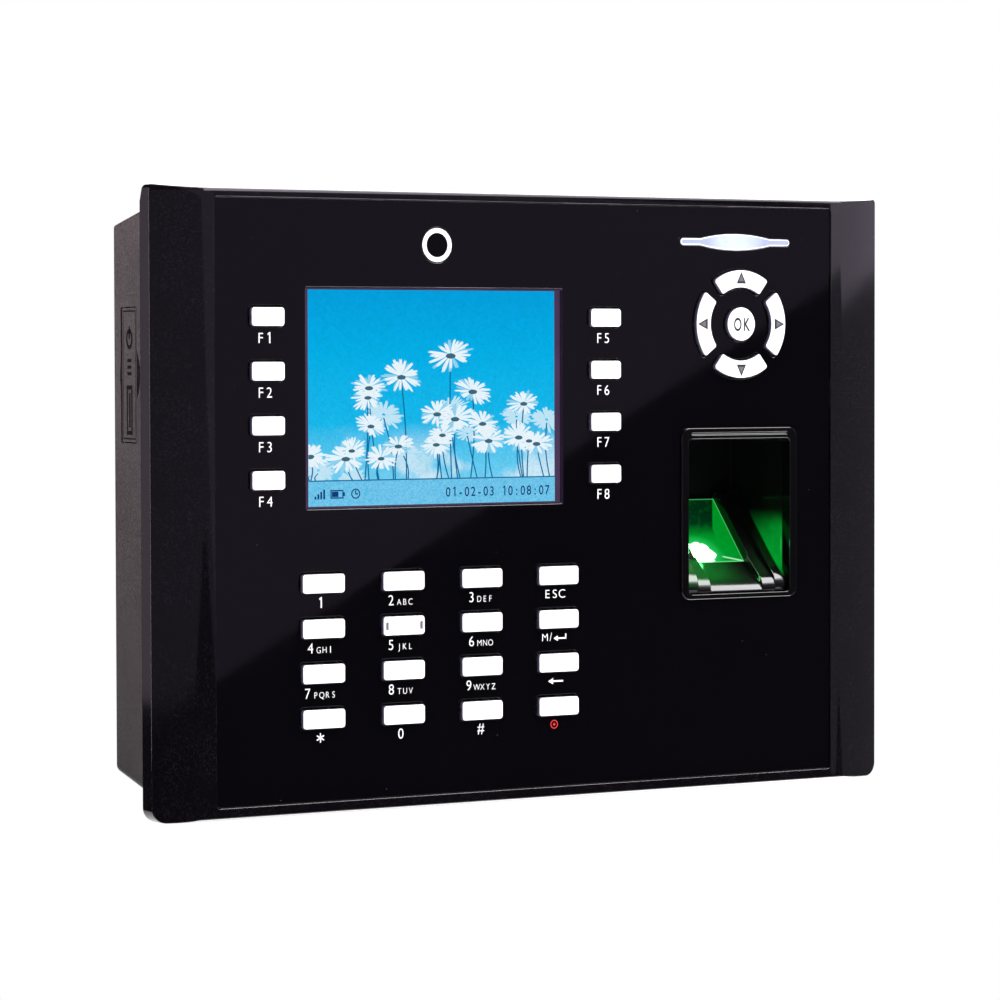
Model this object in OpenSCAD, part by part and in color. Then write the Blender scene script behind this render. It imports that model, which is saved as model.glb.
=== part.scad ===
// Fingerprint scanner terminal for a wall: a flat case with a glossy front panel, a display, keys
// and a finger well, hung on a steel wall plate.
// X runs to the viewer's right, Y towards the wall, Z up. The origin is on the wall face of the
// wall plate, in the middle of its four screw holes. Millimetres.

/* [Case] */
// Width of the front bezel
bezel_w = 212; // [210:0.5:214]
// Height of the front bezel
bezel_h = 151.8; // [150.8:0.2:153.8]
// Depth of the bezel behind the panel face
bezel_depth = 7; // [7:0.25:7.5]
// How far the outer edges of the two wings fall back
wing_drop = 2.5; // [1.5:0.25:3]
// Depth of the whole case behind the panel face
case_depth = 39; // [38.5:0.5:40]
// Step from the bezel's edge in to the rear shell
shell_inset = 4.1; // [3.9:0.1:4.4]
// Taper of the rear shell's walls, in degrees
draft = 8; // [7.5:0.5:8.5]
// Wall thickness of the rear shell
wall = 2.2; // [2:0.1:2.4]

/* [Front panel] */
// Width of the glossy panel
panel_w = 179.7; // [178:0.1:181]
// Height of the glossy panel
panel_h = 146; // [145:0.2:147]
// Thickness of the glossy panel
panel_t = 1.5; // [1.2:0.1:1.5]

/* [Display] */
// Width of the lit area of the 3.5 inch display
lit_w = 70.08; // [69:0.04:71]
// Height of the lit area
lit_h = 52.56; // [52:0.04:53]
// Centre of the lit area, to the right of the panel's centre
lit_x = -28.75; // [-29:0.05:-28.5]
// Centre of the lit area, above the panel's centre
lit_z = 24.84; // [24.5:0.02:25.2]

/* [Keys] */
// Travel of every key
key_travel = 0.8; // [0.5:0.1:0.8]
// How far the keys stand out of the panel
key_proud = 1.2; // [1:0.1:1.5]
// Gap round each key
key_gap = 0.4; // [0.3:0.05:0.45]

/* [Arrow keys] */
// Outer radius of the arrow-key ring
nav_outer = 13.8; // [13.4:0.1:14]
// Inner radius of the arrow-key ring
nav_inner = 9.4; // [9.2:0.1:9.6]
// Radius of the OK key
ok_r = 4.27; // [4:0.01:4.5]

/* [Finger well] */
// Width of the well's opening
well_w = 31; // [31:0.2:31.4]
// Height of the well's opening
well_h = 39.4; // [39.4:0.2:39.8]
// Width of the glass prism
prism_w = 16.7; // [16:0.1:16.8]

/* [Side port] */
// Width of the port cover, front to back
cover_w = 11.9; // [11.7:0.1:12.1]
// Height of the port cover
cover_h = 32.5; // [32:0.25:33]

/* [Hidden] */
$fn = 64;
plate_t = 1.5;
panel_y = -(case_depth + plate_t);
lip = 0.4;
floor_back = 3;
gap = 0.1;
// Edges of the bezel
bottom_r = 1;
top_chamfer = 0.85;
rear_cut = 1.5;
// Where the bezel's screw posts meet those of the rear shell
post_back = 9.1;

// Rear shell outline at its front edge
shell_w = bezel_w - 2 * shell_inset;
shell_h = bezel_h - 2 * shell_inset;
shell_top_r = 0.9;
shell_bottom_r = 2;

// Fingerprint well, about the middle of its rim
well_x = 61.1;
well_z = -6.3;
well_depth = 26;
rim_w = 35.8;
rim_h = 43.9;
rim_z = -5.55;
guide_wall = 1.2;

// Ramp of the finger guide: the prism's face from its front corner to its back corner
ramp_y0 = 9.6;
ramp_z0 = -18.75;
ramp_y1 = 24;
ramp_z1 = -2.8;
ramp_angle = atan2(ramp_z1 - ramp_z0, ramp_y1 - ramp_y0);
shelf_rise = 0.45;
lip_front = 0.7;

// Light bar and camera
bar_x = 60.15;
bar_z = 64;
bar_w = 33.7;
bar_end = 1.6;
camera_x = -28.5;
camera_z = 62.2;

// Arrow keys
nav_x = 61.2;
nav_z = 43;
nav_half_angle = 37;

// Key grids: function keys left and right of the display, and the keypad under it
f_left_x = -76;
f_right_x = 20;
f_top_z = 44.5;
f_pitch = 13.09;
f_key = [8.9, 4.5];
pad_x = -61.1;
pad_z = -20;
pad_pitch = [22.33, 10.94];
pad_key = [11.6, 4.6];
key_r = 0.8;
opening_lift = 0.15;
flange_out = 0.8;
flange_t = 0.8;
flange_front = floor_back + gap;
mat_back = 6.1;
mat_t = 0.6;
dome_front = flange_front + flange_t + key_travel + 0.15;
board_t = 1.6;

F_LEFT = ["key_f1", "key_f2", "key_f3", "key_f4"];
F_RIGHT = ["key_f5", "key_f6", "key_f7", "key_f8"];
PAD = [
    ["key_1", "key_2", "key_3", "key_esc"],
    ["key_4", "key_5", "key_6", "key_menu"],
    ["key_7", "key_8", "key_9", "key_back"],
    ["key_star", "key_0", "key_hash", "key_power"]
];
ARROWS = ["nav_right", "nav_up", "nav_left", "nav_down"];

// Every rectangular key: name, centre x, centre z, size
KEYS = [
    for (i = [0:3]) [F_LEFT[i], f_left_x, f_top_z - i * f_pitch, f_key],
    for (i = [0:3]) [F_RIGHT[i], f_right_x, f_top_z - i * f_pitch, f_key],
    for (row = [0:3]) for (col = [0:3])
        [PAD[row][col], pad_x + col * pad_pitch[0], pad_z - row * pad_pitch[1], pad_key]
];

// Inside the case
lcd_w = lit_w + 6.82;
lcd_h = lit_h + 11.34;
lcd_z = lit_z - 3.2;
lcd_front = panel_t + gap;
lcd_back = 4.6;
window_w = lit_w + 3.12;
window_h = lit_h + 1.24;
main_front = 23;
main_back = main_front + board_t;
back_inside = case_depth - wall;

// Cable bay in the rear shell's back
bay_x = -14;
bay_w = 96;
bay_top = -42;
bay_bottom = -63.2;
bay_floor = 21.5;
bay_wall = 1.5;
tray_sill = 1.6;
notch_w = 32;
notch_front = 27;

// Side port: the middle of the cover on the sloping wall
port_depth = 27.7;
port_z = 30.55;
port_x = -(shell_w / 2 - (port_depth - bezel_depth) * tan(draft));
cover_t = 1.5;
cover_gap = 0.3;
pivot_r = 0.9;
pin_r = 0.6;
pivot_y = cover_w / 2 - pivot_r;
usb_z = 22;
usb_x = port_x + 3.25;
usb_h = 13.1;
switch_z = 37.5;
switch_x = port_x + 5.25;
slider_travel = 3.5;
window_y = 0.15;

// Sockets that face down into the cable bay, and the speaker on the shell's lower wall
network_x = -42;
network_w = 16;
network_back = 35;
network_top = -19;
power_x = -21.5;
power_w = 9;
power_back = 35.4;
power_mid = 30.5;
terminal_x = 6;
terminal_w = 28;
terminal_back = 35.1;
terminal_pitch = 3.5;
speaker_x = 62;
speaker_depth = 20;

// Screws and hooks
case_screw_x = 90;
case_screw_z = 59;
BOARD_POSTS = [[-72, 46], [30, 46], [-70, -34], [30, -34]];
KEY_POSTS = [[-72, 62], [30, 62], [79, 50], [34, -8], [-76, -30], [30, -56]];
hook_x = 82;
hook_w = 12;
HOOK_Z = [40, -30];
LOCK_X = [-76, 43];
lock_w = 10;
lock_y = 32;
lock_z = -60.5;
wall_hole_x = 60;
wall_hole_z = 30;
wall_hole_r = 2.5;

// Extrudes a front-view outline between two depths behind the panel face
module slab(from, to)
    translate([0, panel_y + to, 0]) rotate([90, 0, 0]) linear_extrude(to - from) children();

// Extrudes a side-view outline (depth behind the panel face, height) across x
module across(x0, x1)
    translate([x0, panel_y, 0]) rotate([90, 0, 90]) linear_extrude(x1 - x0) children();

// Rectangle with round corners about its centre
module rounded(w, h, r) {
    square([w - 2 * r, h], center = true);
    square([w, h - 2 * r], center = true);
    for (x = [-1, 1], z = [-1, 1])
        translate([x * (w / 2 - r), z * (h / 2 - r)]) circle(r);
}

// Block between two positions across, two depths behind the panel face and two heights
module box_at(x0, x1, y0, y1, z0, z1)
    translate([x0, panel_y + y0, z0]) cube([x1 - x0, y1 - y0, z1 - z0]);

// Round pin or bore from one depth to another
module rod(x, z, r, from, to)
    translate([x, panel_y + to, z]) rotate([90, 0, 0]) cylinder(r = r, h = to - from);

// Points along part of a circle
function turn(c, r, from, to, n) =
    [for (i = [0:n]) c + r * [cos(from + (to - from) * i / n), sin(from + (to - from) * i / n)]];

// One arc of the arrow-key ring, pointing to +x, grown by some amount all round
module arc_outline(grow) {
    ri = nav_inner - grow;
    ro = nav_outer + grow;
    rc = 0.7 + grow * 0.6;
    half = nav_half_angle + grow * 5;
    inner_angle = half - asin(rc / (ri + rc));
    outer_angle = half - asin(rc / (ro - rc));
    outer = (ro - rc) * [cos(outer_angle), sin(outer_angle)];
    inner = (ri + rc) * [cos(inner_angle), sin(inner_angle)];
    upper = concat(
        turn([0, 0], ro, 0, outer_angle, 14),
        turn(outer, rc, outer_angle + 15, half + 75, 4),
        turn(inner, rc, half + 105, inner_angle + 165, 4),
        turn([0, 0], ri, inner_angle, 0, 14)
    );
    last = len(upper) - 1;
    polygon(concat(upper, [for (i = [last - 1:-1:1]) [upper[i][0], -upper[i][1]]]));
}

// Outlines of all key openings, grown by some amount all round
module key_outlines(grow) {
    for (k = KEYS)
        translate([k[1], k[2] + opening_lift])
            rounded(k[3][0] + 2 * grow, k[3][1] + 2 * grow, key_r + grow);
    translate([nav_x, nav_z]) {
        for (i = [0:3]) rotate(90 * i) arc_outline(grow);
        circle(ok_r + grow);
    }
}

// Lens-shaped outline of the light bar
module bar_outline(grow) {
    end_r = bar_end / 2;
    square([bar_w - bar_end, bar_end + 2 * grow], center = true);
    for (s = [-1, 1]) translate([s * (bar_w / 2 - end_r), 0]) circle(end_r + grow);
    intersection() {
        translate([0, -48]) circle(50 + grow, $fn = 128);
        translate([0, 48]) circle(50 + grow, $fn = 128);
        square([bar_w, 5 + 2 * grow], center = true);
    }
}

// Rectangle about its centre with tighter corners at the top than at the bottom
module two_radii(w, h, rt, rb) {
    translate([-w / 2, -h / 2 + rb]) square([w, h - rb - rt]);
    translate([-w / 2 + rb, -h / 2]) square([w - 2 * rb, 2 * rb]);
    translate([-w / 2 + rt, h / 2 - 2 * rt]) square([w - 2 * rt, 2 * rt]);
    for (s = [-1, 1]) {
        translate([s * (w / 2 - rt), h / 2 - rt]) circle(rt);
        translate([s * (w / 2 - rb), -h / 2 + rb]) circle(rb);
    }
}

// Outline of the well's through opening
module well_outline(grow)
    translate([well_x, well_z]) rounded(well_w + 2 * grow, well_h + 2 * grow, 1 + grow);

// Rear shell's outer form between two depths, drawn in by a wall thickness
module shell_form(from, to, inside) {
    hull() {
        shell_slice(from, inside);
        shell_slice(to - 0.01, inside);
    }
}

module shell_slice(at, inside) {
    in = (at - bezel_depth) * tan(draft) + inside;
    slab(at, at + 0.01)
        two_radii(shell_w - 2 * in, shell_h - 2 * in, shell_top_r, shell_bottom_r, $fn = 32);
}

// Frame on the left wall at the port cover: x into the case, y along the wall to the back
module at_port()
    translate([port_x, panel_y + port_depth, port_z]) rotate([0, 0, -draft]) children();

// Block in the port's frame with rounded corners seen from the side
module port_block(x0, x1, w, h, r)
    translate([x0, 0, 0]) rotate([90, 0, 90]) linear_extrude(x1 - x0) rounded(w, h, r);

// Case ------------------------------------------------------------------------------------

// Top view of the bezel: flat middle and two wings that curve back
module bezel_plan() {
    run = (bezel_w - panel_w) / 2;
    r = (run * run + wing_drop * wing_drop) / (2 * wing_drop);
    intersection() {
        translate([-bezel_w / 2, panel_y - lip]) square([bezel_w, bezel_depth + lip]);
        union() {
            translate([-panel_w / 2, panel_y - lip]) square([panel_w, bezel_depth + lip]);
            for (s = [-1, 1])
                translate([s * panel_w / 2, panel_y - lip + r]) circle(r, $fn = 360);
        }
    }
}

// Side view of the bezel: chamfered top edge, cut rear top edge and rounded bottom edge
module bezel_side() {
    top = bezel_h / 2;
    polygon([
        [bezel_depth, -top], [bottom_r - lip, -top], [bottom_r - lip, -top + bottom_r],
        [-lip, -top + bottom_r], [-lip, top - top_chamfer], [2.6, top],
        [bezel_depth - rear_cut, top], [bezel_depth, top - shell_inset]
    ]);
    translate([bottom_r - lip, -top + bottom_r]) circle(bottom_r);
}

// The bezel before its openings: rim, floor behind the panel and screw posts
module bezel_body() {
    difference() {
        intersection() {
            translate([0, 0, -bezel_h / 2]) linear_extrude(bezel_h) bezel_plan();
            across(-bezel_w / 2, bezel_w / 2) bezel_side();
            slab(-lip, bezel_depth) two_radii(bezel_w, bezel_h, 1.3, 3.5);
        }
        slab(-lip - 1, panel_t) rounded(panel_w + 0.2, panel_h + 0.2, 1);
        slab(floor_back, bezel_depth + 1) rounded(shell_w - 8, shell_h - 8, 2);
        slab(bezel_depth - 2.1, bezel_depth + 1) rounded(shell_w - 2.2, shell_h - 2.2, 2.5);
    }
    for (x = [-1, 1], z = [-1, 1])
        rod(x * case_screw_x, z * case_screw_z, 3.6, floor_back - 0.5, post_back);
    for (p = KEY_POSTS) rod(p[0], p[1], 2.6, floor_back - 0.5, mat_back);
}

module front_bezel()
    color([0.07, 0.065, 0.075])
    difference() {
        bezel_body();
        for (x = [-1, 1], z = [-1, 1]) rod(x * case_screw_x, z * case_screw_z, 1.5, 2, 20);
        for (p = KEY_POSTS) rod(p[0], p[1], 1.1, 2, 20);
        slab(0, floor_back + 1) key_outlines(key_gap);
        slab(0, floor_back + 1)
            translate([lit_x, lcd_z]) square([lcd_w + 0.4, lcd_h + 0.4], center = true);
        slab(0, floor_back + 1) translate([bar_x, bar_z]) bar_outline(0.1);
        slab(0, floor_back + 1) translate([camera_x, camera_z]) circle(4.6);
        slab(0, floor_back + 1)
            translate([well_x, rim_z]) rounded(rim_w + 0.4, rim_h - 0.4, 1.5);
    }

module front_panel()
    color([0.03, 0.028, 0.035])
    difference() {
        slab(0, panel_t) rounded(panel_w, panel_h, 1);
        slab(-1, 2) key_outlines(key_gap);
        slab(-1, 2) translate([lit_x, lit_z]) rounded(window_w, window_h, 0.5);
        slab(-1, 2) translate([bar_x, bar_z]) bar_outline(0.1);
        slab(-1, 2) translate([camera_x, camera_z]) circle(4.4);
        slab(-1, 2) translate([well_x, rim_z]) rounded(rim_w - 1.2, rim_h - 1.2, 1.5);
    }

module display_window()
    color([0.5, 0.6, 0.7, 0.4])
    slab(0, panel_t - 0.2) translate([lit_x, lit_z]) rounded(window_w - 0.1, window_h - 0.1, 0.45);

module camera_window()
    color([0.1, 0.1, 0.12, 0.6])
    slab(0, panel_t) translate([camera_x, camera_z]) circle(4.35);

module light_bar()
    color([0.8, 0.88, 1])
    union() {
        slab(-0.15, 3.1) translate([bar_x, bar_z]) bar_outline(0);
        slab(3.1, 4.3) translate([bar_x, bar_z]) square([bar_w + 2, 5.4], center = true);
    }

module rear_shell() {
    color([0.22, 0.2, 0.2])
    difference() {
        union() {
            difference() {
                shell_form(bezel_depth, case_depth, 0);
                shell_form(bezel_depth - 1, back_inside, wall);
            }
            difference() {
                slab(bezel_depth - 2, bezel_depth + 1.5) rounded(shell_w - 2.6, shell_h - 2.6, 2.3);
                slab(bezel_depth - 3, bezel_depth + 2)
                    rounded(shell_w - 2 * wall - 2.4, shell_h - 2 * wall - 2.4, 2);
            }
            for (x = [-1, 1], z = [-1, 1])
                rod(x * case_screw_x, z * case_screw_z, 4.4, 9.2, case_depth - 0.5);
            for (p = BOARD_POSTS) rod(p[0], p[1], 3, main_back, back_inside + 0.5);
            at_port() translate([1, -8, -18.5]) cube([2.4, 15.6, 37]);
        }
        for (x = [-1, 1], z = [-1, 1]) {
            rod(x * case_screw_x, z * case_screw_z, 3.2, 12, case_depth + 1);
            rod(x * case_screw_x, z * case_screw_z, 1.7, 9, case_depth + 1);
        }
        for (p = BOARD_POSTS) rod(p[0], p[1], 1.1, main_back - 1, main_back + 7);
        bay_window();
        for (x = [-1, 1], z = HOOK_Z)
            box_at(x * hook_x - hook_w / 2 - 1, x * hook_x + hook_w / 2 + 1,
                back_inside - 1, case_depth + 1, z - 6, z + 2.6);
        for (x = LOCK_X) {
            box_at(x - lock_w / 2 - 0.5, x + lock_w / 2 + 0.5,
                back_inside - 1, case_depth + 1, lock_z - 1.8, lock_z + 0.3);
            translate([x, panel_y + lock_y, -80]) cylinder(r = 1.7, h = 17);
            translate([x, panel_y + lock_y, -80]) cylinder(r = 3.2, h = 13.8);
        }
        for (i = [-3:3])
            box_at(speaker_x + 4 * i - 0.8, speaker_x + 4 * i + 0.8,
                speaker_depth - 6, speaker_depth + 6, -75, -60);
        port_cuts();
    }
}

// Openings of the cable bay in the rear shell: to the wall, and down through its lower wall
module bay_window() {
    box_at(bay_x - bay_w / 2, bay_x + bay_w / 2,
        back_inside - 1, case_depth + 1, bay_bottom, bay_top);
    box_at(bay_x - notch_w / 2, bay_x + notch_w / 2,
        notch_front, case_depth + 1, -80, bay_bottom + 0.1);
}

// Tray behind the rear shell's window that keeps the cables out of the case
module cable_tray() {
    x0 = bay_x - bay_w / 2;
    x1 = bay_x + bay_w / 2;
    color([0.16, 0.15, 0.15])
    difference() {
        box_at(x0 - bay_wall, x1 + bay_wall, bay_floor - bay_wall, back_inside - gap,
            bay_bottom - tray_sill, bay_top + bay_wall);
        box_at(x0, x1, bay_floor, case_depth, bay_bottom, bay_top);
        box_at(bay_x - notch_w / 2, bay_x + notch_w / 2,
            notch_front, case_depth, -80, bay_bottom + 1);
        socket_slot(network_x, network_w, main_front - 1.3, network_back);
        socket_slot(power_x, power_w, main_back - 0.1, power_back);
        socket_slot(terminal_x, terminal_w, main_back - 0.1, terminal_back);
    }
}

// Slot in the tray's upper wall for a socket
module socket_slot(x, w, from, to)
    box_at(x - w / 2 - 0.2, x + w / 2 + 0.2, from, to + 0.2, bay_top - 1, bay_top + 2);

// Recess for the port cover, its pivot bores, the notch for a finger and the two windows
module port_cuts()
    at_port() {
        port_block(-3, cover_t + 0.2, cover_w + 2 * cover_gap, cover_h + 2 * cover_gap, 1.2);
        translate([0, pivot_y - pivot_r - 0.3, -cover_h / 2 - cover_gap])
            cube([2.1, 2 * pivot_r + 0.9, cover_h + 2 * cover_gap]);
        translate([pivot_r, pivot_y, -cover_h / 2 - 1.6]) cylinder(r = pin_r + 0.06, h = cover_h + 3.2);
        translate([-3, -cover_w / 2 + 5.14, 0]) rotate([0, 90, 0]) cylinder(r = 7.94, h = 4.4);
        translate([0, window_y, usb_z - port_z]) cube([12, 7.1, usb_h + 0.9], center = true);
        translate([0, window_y, switch_z - port_z + slider_travel / 2])
            cube([12, 4, 8.4], center = true);
    }

module port_cover()
    color([0.22, 0.2, 0.2])
    at_port() {
        difference() {
            port_block(0, cover_t, cover_w, cover_h, 1);
            translate([-1, pivot_y, -cover_h / 2 - 1]) cube([5, 3, cover_h + 2]);
        }
        translate([pivot_r, pivot_y, -cover_h / 2]) cylinder(r = pivot_r, h = cover_h);
        translate([pivot_r, pivot_y, -cover_h / 2 - 1.3]) cylinder(r = pin_r, h = cover_h + 2.6);
    }

// Finger well and sensor -------------------------------------------------------------------

module sensor_rim()
    color([0.05, 0.05, 0.055])
    difference() {
        union() {
            slab(-0.7, 0) translate([well_x, rim_z]) rounded(rim_w, rim_h, 2.5);
            slab(-0.1, floor_back) translate([well_x, rim_z]) rounded(rim_w - 1.4, rim_h - 1.4, 1.4);
        }
        slab(-1, 4) well_outline(0.2);
        slab(-1, -0.35)
            translate([well_x, rim_z + rim_h / 2 - 1.5]) square([rim_w - 6, 0.5], center = true);
    }

// Side view of one strip of the ramp, standing proud of the prism's face by some amount, with
// its rolled lip at the bottom
module ramp_side(proud, lip_r, lip_z) {
    dy = -proud * sin(ramp_angle);
    dz = proud * cos(ramp_angle);
    bottom = well_z - well_h / 2;
    lip_y = lip_front + lip_r;
    polygon([
        [well_depth, bottom - 1], [well_depth, ramp_z1 + shelf_rise + dz],
        [ramp_y1 + dy, ramp_z1 + dz], [ramp_y0 + dy, ramp_z0 + dz],
        [lip_y - lip_r * 0.6, lip_z + lip_r * 0.8], [lip_y, lip_z], [lip_y, bottom - 1]
    ]);
    translate([lip_y, lip_z]) circle(lip_r, $fn = 96);
}

module finger_guide()
    color([0.04, 0.04, 0.045])
    difference() {
        union() {
            difference() {
                slab(floor_back + gap, well_depth + guide_wall) well_outline(guide_wall);
                slab(0, well_depth) well_outline(0);
            }
            intersection() {
                union() {
                    across(well_x - 8.1, well_x + 8.1) ramp_side(0, 4, -26.7);
                    for (s = [-1, 1]) {
                        across(well_x + s * 10 - 2, well_x + s * 10 + 2) ramp_side(2.4, 4.2, -25.2);
                        across(well_x + s * 13.7 - 1.8, well_x + s * 13.7 + 1.8)
                            ramp_side(3.7, 5, -24.4);
                    }
                }
                slab(0.6, well_depth + 0.5) well_outline(-0.1);
            }
        }
        sensor_room(0.1);
    }

// Room for the prism and the sensor's housing under the ramp
module sensor_room(grow) {
    across(well_x - prism_w / 2 - grow, well_x + prism_w / 2 + grow) prism_side(grow, 4);
    box_at(well_x - 10 - grow, well_x + 10 + grow, 13 - grow, 40, -40, -19.35 + grow);
}

// Side view of the prism: its long face lies in the ramp
module prism_side(grow, over)
    polygon([
        [ramp_y0 - over - grow, ramp_z0 + over * tan(ramp_angle) + grow],
        [ramp_y0 - grow, ramp_z0 - grow], [ramp_y1 + grow, ramp_z0 - grow],
        [ramp_y1 + grow, ramp_z1 + grow], [ramp_y1 - over, ramp_z1 + over]
    ]);

module sensor_prism()
    color([0.4, 0.9, 0.5, 0.5])
    across(well_x - prism_w / 2, well_x + prism_w / 2)
        polygon([[ramp_y0, ramp_z0], [ramp_y1, ramp_z0], [ramp_y1, ramp_z1]]);

// Box that holds the lamps under the prism and the image chip behind it
module sensor_housing()
    color([0.1, 0.1, 0.11])
    difference() {
        box_at(well_x - 9.5, well_x + 9.5, 13.5, 34, -38, -19.4);
        box_at(well_x - 8.3, well_x + 8.3, 14.7, 35, -36.8, -20.6);
        box_at(well_x - 7, well_x + 7, 15, 23, -21, -19);
    }

module sensor_board()
    color([0.08, 0.32, 0.16]) {
        box_at(well_x - 13, well_x + 13, 34.1, 35.1, -39, -18);
        box_at(well_x - 5, well_x + 5, 33.1, 34.15, -34, -24);
        rod(well_x, -29, 3, 26, 33.2);
        for (x = [-6, 6]) rod(well_x + x, -27, 1.5, 30, 34.15);
    }

// Keys --------------------------------------------------------------------------------------

// Rectangular key cap with its flange behind the bezel's floor
module rect_key(k)
    color([0.96, 0.96, 0.97]) {
        if (k[0] == "key_5") key_nubs(k[1], k[2]);
        slab(-key_proud, flange_front) translate([k[1], k[2]]) rounded(k[3][0], k[3][1], key_r);
        slab(flange_front, flange_front + flange_t) translate([k[1], k[2]])
            rounded(k[3][0] + 2 * flange_out, k[3][1] + 2 * flange_out, key_r);
    }

// Two small ribs to feel for on the middle key
module key_nubs(x, z)
    for (s = [-1, 1])
        box_at(x + s * 4.8 - 0.2, x + s * 4.8 + 0.2, -key_proud - 0.2, 0, z - 0.9, z + 0.9);

// Arc-shaped arrow key, numbered anticlockwise from the right
module arrow_key(i)
    color([0.96, 0.96, 0.97]) {
        slab(-key_proud, flange_front) translate([nav_x, nav_z]) rotate(90 * i) arc_outline(0);
        slab(flange_front, flange_front + flange_t) translate([nav_x, nav_z]) rotate(90 * i)
            arc_outline(0.6);
    }

module nav_ok()
    color([0.96, 0.96, 0.97]) {
        rod(nav_x, nav_z, ok_r, -key_proud, flange_front);
        rod(nav_x, nav_z, ok_r + flange_out, flange_front, flange_front + flange_t);
    }

// Silicone sheet with a dome under every key, drawn at the height it has when pressed
module key_mat()
    color([0.75, 0.76, 0.78]) {
        difference() {
            slab(mat_back - mat_t, mat_back) mat_outline();
            for (p = KEY_POSTS) rod(p[0], p[1], 2.9, 0, 10);
        }
        for (k = KEYS)
            slab(dome_front, mat_back - mat_t) translate([k[1], k[2]])
                rounded(k[3][0] - 3, k[3][1] - 1, 1);
        rod(nav_x, nav_z, ok_r - 1, dome_front, mat_back - mat_t);
        for (a = [0:90:270])
            rod(nav_x + 11.6 * cos(a), nav_z + 11.6 * sin(a), 1.8, dome_front, mat_back - mat_t);
    }

// Outline of the mat: round the display, short of the finger well
module mat_outline()
    difference() {
        translate([-82, -60]) square([163, 118]);
        board_cuts();
    }

// Cut-outs for the display and the finger well
module board_cuts() {
    translate([lit_x, lcd_z]) square([lcd_w + 3, lcd_h + 5], center = true);
    translate([41, -80]) square([80, 101]);
    translate([camera_x, camera_z]) square(10, center = true);
}

module key_board()
    color([0.08, 0.32, 0.16])
    difference() {
        slab(mat_back + 0.05, mat_back + 0.05 + board_t) difference() {
            translate([-83, -61]) square([166, 128.4]);
            board_cuts();
        }
        for (p = KEY_POSTS) rod(p[0], p[1], 1.4, 0, 10);
    }

// Display and camera ------------------------------------------------------------------------

module display_panel()
    color([0.25, 0.55, 0.8])
    slab(lcd_front, lcd_back) translate([lit_x, lcd_z]) square([lcd_w, lcd_h], center = true);

module display_frame()
    color([0.7, 0.71, 0.73])
    difference() {
        slab(lcd_back + 0.05, lcd_back + 0.85)
            translate([lit_x, lcd_z]) square([lcd_w + 1.6, lcd_h + 2], center = true);
        slab(0, 10) translate([lit_x, lcd_z]) square([lcd_w - 22, lcd_h - 22], center = true);
    }

module camera_module()
    color([0.1, 0.1, 0.11])
    union() {
        rod(camera_x, camera_z, 3.4, panel_t + 0.3, 6);
        box_at(camera_x - 4.5, camera_x + 4.5, 5, 9.6, camera_z - 4.5, camera_z + 4.5);
    }

// Boards and sockets --------------------------------------------------------------------------

module main_board()
    color([0.08, 0.32, 0.16]) {
        difference() {
            box_at(-92, 36, main_front, main_back, -39, 51);
            box_at(network_x - network_w / 2 - 0.4, network_x + network_w / 2 + 0.4,
                main_front - 1, main_back + 1, bay_top, network_top + 0.2);
            for (p = BOARD_POSTS) rod(p[0], p[1], 1.5, main_front - 1, main_back + 1);
        }
        box_at(-40, -16, main_front - 2, main_front, 0, 24);
        box_at(-4, 16, main_front - 1.2, main_front, 8, 16);
        box_at(-4, 16, main_front - 1.2, main_front, -6, 2);
        box_at(-70, -58, main_front - 1.6, main_front, 20, 32);
        for (x = [-62, -50]) rod(x, -8, 4, main_front - 9, main_front);
        rod(10, 40, 10, main_front - 4.5, main_front);
    }

module ribbon_cables()
    color([0.85, 0.84, 0.8]) {
        box_at(-36, -12, 12, 12.3, -10, 40);
        box_at(18, 30, 12, 12.3, -30, 30);
        box_at(38, 39, 10, 18, -36, -24);
    }

module speaker()
    color([0.12, 0.12, 0.13])
    union() {
        translate([speaker_x, panel_y + speaker_depth, -65]) cylinder(r = 13, h = 3.2);
        translate([speaker_x, panel_y + speaker_depth, -61.8]) cylinder(r = 8, h = 3.4);
    }

module usb_socket()
    color([0.75, 0.76, 0.78])
    difference() {
        box_at(usb_x, -80, main_back + 0.05, main_back + 5.75, usb_z - usb_h / 2, usb_z + usb_h / 2);
        difference() {
            box_at(usb_x - 1, -82, main_back + 0.4, main_back + 5.4, usb_z - 6.2, usb_z + 6.2);
            box_at(usb_x + 0.8, -81, main_back + 3.1, main_back + 4.8, usb_z - 5.4, usb_z + 5.4);
        }
    }

module power_switch()
    color([0.12, 0.12, 0.13])
    difference() {
        box_at(switch_x, switch_x + 7.2, main_back + 0.05, main_back + 5.75,
            switch_z - 4.8, switch_z + 8.3);
        box_at(switch_x - 1, switch_x + 2.2, main_back + 1.2, main_back + 4.6,
            switch_z - 2.4, switch_z + slider_travel + 2.4);
    }

module switch_slider()
    color([0.9, 0.9, 0.9])
    union() {
        box_at(switch_x + 0.2, switch_x + 1.9, main_back + 1.5, main_back + 4.3,
            switch_z - 2, switch_z + 2);
        box_at(switch_x - 2.6, switch_x + 0.2, main_back + 1.9, main_back + 3.9,
            switch_z - 1.2, switch_z + 1.2);
    }

module network_socket()
    color([0.7, 0.71, 0.73])
    difference() {
        box_at(network_x - network_w / 2, network_x + network_w / 2,
            main_front - 1.2, network_back, bay_top, network_top);
        box_at(network_x - 5.9, network_x + 5.9,
            network_back - 9.8, network_back - 2.4, bay_top - 1, -28);
        box_at(network_x - 3, network_x + 3,
            network_back - 3, network_back - 1, bay_top - 1, -30);
    }

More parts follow.
